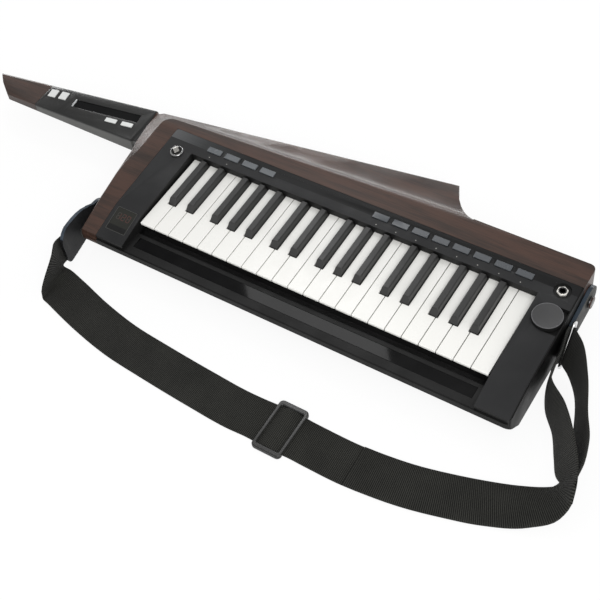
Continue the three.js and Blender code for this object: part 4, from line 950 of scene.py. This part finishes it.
DOUBLED = [
    (0.7442, -0.677, 0, -88, 0), (0.7823, -0.668, 0, -85, 0), (0.8616, -0.636, 0, -79, 0),
    (0.93, -0.589, 0, -71, 0), (0.993, -0.536, 0, -66, 0), (1.0632, -0.464, 0, -55, 8),
    (1.1073, -0.405, 0, -48, 24), (1.1254, -0.372, 0.01, -44, 42), (1.1314, -0.345, 0.02, -38, 58),
]
OUTER = [
    (1.1324, -0.24, 0.02, -20, 68), (1.1234, -0.149, 0.02, 8, 71), (1.1026, 0.051, 0.02, -15, 75),
    (1.0714, 0.266, 0.03, 0, 78), (1.0349, 0.39, 0.08, 60, 72),
]
INNER = [
    (1.0079, 0.285, 0.06, 70, 70), (1.0331, 0.085, 0.03, 100, 76), (1.0702, -0.051, 0.02, 75, 73),
    (1.0973, -0.2, 0.02, 45, 70), (1.1194, -0.31, 0.02, -10, 64),
]


def station(share, thickness):
    """The band's inner and outer edge at a station."""
    x, y, lift, spin, rise = share[:5]
    width = WEB_WIDTH * (share[5] if len(share) > 5 else 1.0)
    inner = Vector((x * BODY_RIGHT, y * REACH, LIFT - STAND + thickness / 2 + lift * STAND))
    flat = width * math.cos(math.radians(rise))
    outer = inner + Vector((flat * math.cos(math.radians(spin)),
                            flat * math.sin(math.radians(spin)),
                            width * math.sin(math.radians(rise))))
    return inner, outer


# The slide buckle: its middle along the strap, the strap's inner edge there, the frame's size and
# corners, the widths of its bars, and the heights of its foot, of the cut above the band and of
# its top
BUCKLE_X = 0.5627 * BODY_RIGHT
BUCKLE_Y = -113.4
BUCKLE_SIZE = (36.5, 64.0)
BUCKLE_ROUND = 5.0
BUCKLE_HOLE_ROUND = 1.6
BUCKLE_BARS = (4.0, 6.0)
BUCKLE_FOOT = LIFT - STAND
BUCKLE_SPLIT = BUCKLE_FOOT + THIN + 0.35
BUCKLE_TOP = BUCKLE_FOOT + 5.1

# The band climbs over the middle bar and widens a little in the frame: places along the strap
# from the buckle's middle, the band's rise, and how far each edge moves out
BUCKLE_CLIMB = [
    (-19.5, 0, 0.3), (-13.2, 0, 0.85), (-4.8, 2.5, 0.85),
    (4.8, 2.5, 0.85), (13.2, 0, 0.85), (19.5, 0, 0.3),
]


def buckle_stations():
    base = BUCKLE_FOOT + THIN / 2
    pairs = []
    for step, rise, spread in BUCKLE_CLIMB:
        inner = Vector((BUCKLE_X + step, BUCKLE_Y + spread, base + rise))
        pairs.append((inner, inner - Vector((0, WEB_WIDTH + spread * 2, 0))))
    return pairs


def buckle():
    """A frame over the band, feet beside it, and the bar that the band climbs over."""
    place = moved(at(BUCKLE_X, BUCKLE_Y - WEB_WIDTH / 2, 0))
    outer = round_points(*BUCKLE_SIZE, BUCKLE_ROUND)
    hole = [size - bar * 2 for size, bar in zip(BUCKLE_SIZE, BUCKLE_BARS)]
    rim = frames("strap_buckle_frame", [(outer, round_points(*hole, BUCKLE_HOLE_ROUND))],
                 BUCKLE, place, low=BUCKLE_SPLIT, high=BUCKLE_TOP, round_edge=1.3)
    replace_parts(rim, "strap_buckle")
    edge, half = hole[1] / 2, BUCKLE_SIZE[0] / 2
    foot = [(half, edge), *outer[:len(outer) // 2], (-half, edge)]
    feet = [foot, [(-x, -y) for x, y in foot]]
    prisms("strap_buckle_feet", feet, BUCKLE, place,
           low=BUCKLE_FOOT, high=BUCKLE_SPLIT + 0.1)
    prisms("strap_buckle_bar", [box_points(BUCKLE_BARS[1], hole[1] + 0.6)], BUCKLE,
           place, low=BUCKLE_FOOT, high=BUCKLE_SPLIT - 0.1, round_edge=0.4)


# The ring's bar leans back from upright. The loop goes round it, as wide as the ring has room for
LEAN = math.radians(37)
RING_UP = Vector((0, math.sin(LEAN), math.cos(LEAN)))
RING_AWAY = Vector((0, -math.cos(LEAN), math.sin(LEAN)))
RING_MIDDLE = Vector((BODY_RIGHT + 7, 83, -20.4))
RING_WIRE = 1.7
RING_GAP = 0.3
RING_HALF_ROOM = 22.5
WRAP_STEPS = 6


def wrap_stations():
    """Half a turn round the ring's bar."""
    radius = RING_WIRE + RING_GAP + THIN / 2
    pairs = []
    for k in range(WRAP_STEPS + 1):
        angle = math.pi * k / WRAP_STEPS
        spot = RING_MIDDLE + Vector((radius * math.cos(angle), 0, 0))
        spot -= RING_AWAY * (radius * math.sin(angle))
        pairs.append((spot - RING_UP * RING_HALF_ROOM, spot + RING_UP * RING_HALF_ROOM))
    return pairs


def doubled_face(side):
    """The loop's band lies in one face of the doubled strap where both meet."""
    ends = [station(share, DOUBLE) for share in DOUBLED[-2:]]
    along = (ends[1][0] + ends[1][1] - ends[0][0] - ends[0][1]) / 2
    pairs = []
    for a, b in ends:
        shift = along.cross(b - a).normalized() * (side * (DOUBLE - THIN) / 2)
        pairs.append((a + shift, b + shift))
    return pairs


def held(slope, chord):
    """A slope no longer than the chord, so that a tight inner edge doesn't overshoot."""
    length = slope.length
    return slope * (chord.length / length) if length > chord.length else slope


def slope_at(before, here, after, gap_before, gap_after):
    """How fast an edge runs at a station, by the way to its neighbours."""
    run = (after - here) / gap_after * gap_before + (here - before) / gap_before * gap_after
    return run / (gap_before + gap_after)


def curved(start, end, start_slope, end_slope, count):
    """Points on a cubic from one station up to the next, without the last one."""
    points = []
    for i in range(count):
        t = i / count
        t2, t3 = t * t, t * t * t
        points.append(start * (2 * t3 - 3 * t2 + 1) + start_slope * (t3 - 2 * t2 + t)
                      + end * (3 * t2 - 2 * t3) + end_slope * (t3 - t2))
    return points


def smooth_band(pairs, step):
    """Both edges of the band, carried through the stations by their middles' spacing."""
    middles = [(a + b) / 2 for a, b in pairs]
    gaps = [(b - a).length for a, b in zip(middles, middles[1:])]
    out = []
    for k, gap in enumerate(gaps):
        before = gaps[k - 1] if k else gap
        after = gaps[k + 1] if k + 1 < len(gaps) else gap
        count = max(1, round(gap / step))
        edges = []
        for edge in zip(*pairs):
            start, end = edge[k], edge[k + 1]
            chord = end - start
            previous = edge[k - 1] if k else start * 2 - end
            following = edge[k + 2] if k + 2 < len(edge) else end * 2 - start
            start_slope = held(slope_at(previous, start, end, before, gap) * gap, chord)
            end_slope = held(slope_at(start, end, following, gap, after) * gap, chord)
            edges.append(curved(start, end, start_slope, end_slope, count))
        out.extend(zip(*edges))
    out.append(pairs[-1])
    return out


# The band's section: places across it, and its half thickness there as a share
ACROSS = [0.0, 0.012, 0.04, 0.2, 0.4, 0.6, 0.8, 0.96, 0.988, 1.0]
SWELL = [0.35, 0.75, 1.0, 0.93, 0.93, 0.93, 0.93, 1.0, 0.75, 0.35]


def on_floor(spot):
    """The band's lower edge rests on the floor and doesn't sink into it."""
    return Vector((spot.x, spot.y, max(spot.z, 0.0)))


def section(a, b, normal):
    """The band's outline between its two edges, in the frame's metres."""
    top = [a.lerp(b, place) + normal * share for place, share in zip(ACROSS, SWELL)]
    under = [a.lerp(b, place) - normal * share for place, share in zip(ACROSS, SWELL)]
    return [on_floor((spot + KEY_CORNER) * MM) for spot in top + under[::-1]]


def band(name, stations, thickness, step=5.0):
    """A flat webbing band with rounded selvages, and its own coordinates in metres."""
    rows = smooth_band(stations, step)
    last = len(rows) - 1
    middles = [(a + b) / 2 for a, b in rows]
    lengths = [0.0]
    for here, following in zip(middles, middles[1:]):
        lengths.append(lengths[-1] + (following - here).length)
    width = (rows[0][0] - rows[0][1]).length
    spread = ACROSS + ACROSS[::-1]
    count = len(spread)

    def build(shape):
        layer = shape.loops.layers.uv.new("weave")
        rings = []
        for k, (a, b) in enumerate(rows):
            ahead = middles[min(k + 1, last)] - middles[max(k - 1, 0)]
            normal = ahead.cross(b - a).normalized() * (thickness / 2)
            rings.append([shape.verts.new(spot) for spot in section(a, b, normal)])

        def put(corners):
            face = shape.faces.new([rings[k][i] for i, k in corners])
            for loop, (i, k) in zip(face.loops, corners):
                loop[layer].uv = (spread[i] * width * MM, lengths[k] * MM)

        for k in range(last):
            for i in range(count):
                j = (i + 1) % count
                put([(i, k), (j, k), (j, k + 1), (i, k + 1)])
        put([(i, 0) for i in reversed(range(count))])
        put([(i, last) for i in range(count)])

    piece = put_together(name, build, WEBBING, Matrix(), angle=BAND_SHARP_ANGLE)
    return piece


def strap():
    single = [station(share, THIN) for share in MAIN] + buckle_stations()
    single += [station(share, THIN) for share in FAR]
    loop = doubled_face(-1) + [station(share, THIN) for share in OUTER] + wrap_stations()
    loop += [station(share, THIN) for share in INNER] + doubled_face(1)[::-1]
    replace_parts(band("strap_band_single", single, THIN), "strap_webbing")
    band("strap_band_double", [station(share, DOUBLE) for share in DOUBLED], DOUBLE)
    band("strap_band_loop", loop, THIN, step=3.0)


buckle()
strap()
refined("strap_ring", (CHROME,), round_edge=0.1, segments=1, angle=60.0)


# The tabs' edge faces up and takes a bluish leather. The right tab's outer side faces right and
# takes a paler copy of the leather: painted light, on the side that the light falls on
EDGE_UPWARD = 0.6
OUTER_RIGHTWARD = 0.5


def tab_zone(spot, normal):
    return LEATHER_EDGE if normal.z > EDGE_UPWARD else LEATHER


def right_tab_zone(spot, normal):
    # Painted light: the right tab's outer side takes the paler leather
    return LEATHER_LIT_SIDE if normal.x > OUTER_RIGHTWARD else tab_zone(spot, normal)


refined("strap_tab_left", (LEATHER, LEATHER_EDGE), round_edge=0.8,
        choose=tab_zone)
refined("strap_tab_right", (LEATHER, LEATHER_EDGE, LEATHER_LIT_SIDE), round_edge=0.8,
        choose=right_tab_zone)

# The floor: half its side and its depth under the object in metres, its tone, and the share of
# plain white that it shows where it is seen directly, mirrored or through glass
FLOOR_HALF = 6.0
FLOOR_DROP = 0.0003
FLOOR_TONE = 0.94
FLOOR_GLOW = 0.88


def white_floor():
    """A pale floor that keeps the object's shadow."""
    mat = bpy.data.materials.new("floor_white")
    mat.use_nodes = True
    nodes, links = mat.node_tree.nodes, mat.node_tree.links
    nodes.clear()
    out = nodes.new("ShaderNodeOutputMaterial")
    matte = nodes.new("ShaderNodeBsdfDiffuse")
    matte.inputs["Color"].default_value = (FLOOR_TONE, FLOOR_TONE, FLOOR_TONE, 1)
    glow = nodes.new("ShaderNodeEmission")
    mix = nodes.new("ShaderNodeMixShader")
    share = nodes.new("ShaderNodeMath")
    share.operation = "MULTIPLY"
    share.inputs[1].default_value = FLOOR_GLOW
    path = nodes.new("ShaderNodeLightPath")
    seen = path.outputs["Is Camera Ray"]
    for ray in ("Is Glossy Ray", "Is Transmission Ray"):
        either = nodes.new("ShaderNodeMath")
        either.operation = "MAXIMUM"
        links.new(seen, either.inputs[0])
        links.new(path.outputs[ray], either.inputs[1])
        seen = either.outputs["Value"]
    links.new(seen, share.inputs[0])
    links.new(share.outputs["Value"], mix.inputs["Fac"])
    links.new(matte.outputs["BSDF"], mix.inputs[1])
    links.new(glow.outputs["Emission"], mix.inputs[2])
    links.new(mix.outputs["Shader"], out.inputs["Surface"])
    return mat


def stage():
    far = FLOOR_HALF
    mesh = bpy.data.meshes.new("floor")
    mesh.from_pydata([(-far, -far, 0), (far, -far, 0), (far, far, 0), (-far, far, 0)], [],
                     [(0, 1, 2, 3)])
    floor = add_object("floor", mesh, white_floor())
    floor.location.z = -FLOOR_DROP


# The sky's tones by the height of a direction: 0 is level or lower, and 1 is straight up
SKY_STOPS = [
    (0.0, 1.0), (0.40, 1.0), (0.58, 0.74), (0.68, 0.42), (0.78, 0.46), (0.90, 0.80), (1.0, 0.80),
]


def room():
    """White low down, grey on the way up and paler overhead."""
    world = bpy.data.worlds.new("studio")
    bpy.context.scene.world = world
    world.use_nodes = True
    nodes, links = world.node_tree.nodes, world.node_tree.links
    nodes.clear()
    out = nodes.new("ShaderNodeOutputWorld")
    sky = nodes.new("ShaderNodeBackground")
    coords = nodes.new("ShaderNodeTexCoord")
    split = nodes.new("ShaderNodeSeparateXYZ")
    ramp = nodes.new("ShaderNodeValToRGB")
    fill_ramp(ramp, [(place, (tone, tone, tone)) for place, tone in SKY_STOPS])
    links.new(coords.outputs["Generated"], split.inputs["Vector"])
    links.new(split.outputs["Z"], ramp.inputs["Fac"])
    links.new(ramp.outputs["Color"], sky.inputs["Color"])
    links.new(sky.outputs["Background"], out.inputs["Surface"])


def lamp(name, place, target, size, power):
    """A rectangular lamp. Places and sizes are in metres, the power is in watts."""
    data = bpy.data.lights.new(name, "AREA")
    data.shape = "RECTANGLE"
    data.size, data.size_y = size
    data.energy = power
    obj = bpy.data.objects.new(name, data)
    bpy.context.scene.collection.objects.link(obj)
    aim = Vector(target) - Vector(place)
    obj.location = place
    obj.rotation_euler = aim.to_track_quat("-Z", "Y").to_euler()


stage()
room()
lamp("soft_front", place=(1.1, -1.1, 1.7), target=(0.0, 0.0, 0.0), size=(1.2, 1.2), power=27.0)
lamp("strip_back", place=(-1.35, 1.9, 0.22), target=(0.0, 0.1, 0.0), size=(3.6, 0.2), power=30.0)
lamp("card_back", place=(-0.66, 0.77, 1.55), target=(0.08, -0.08, 0.0), size=(0.34, 0.45),
     power=2.9)
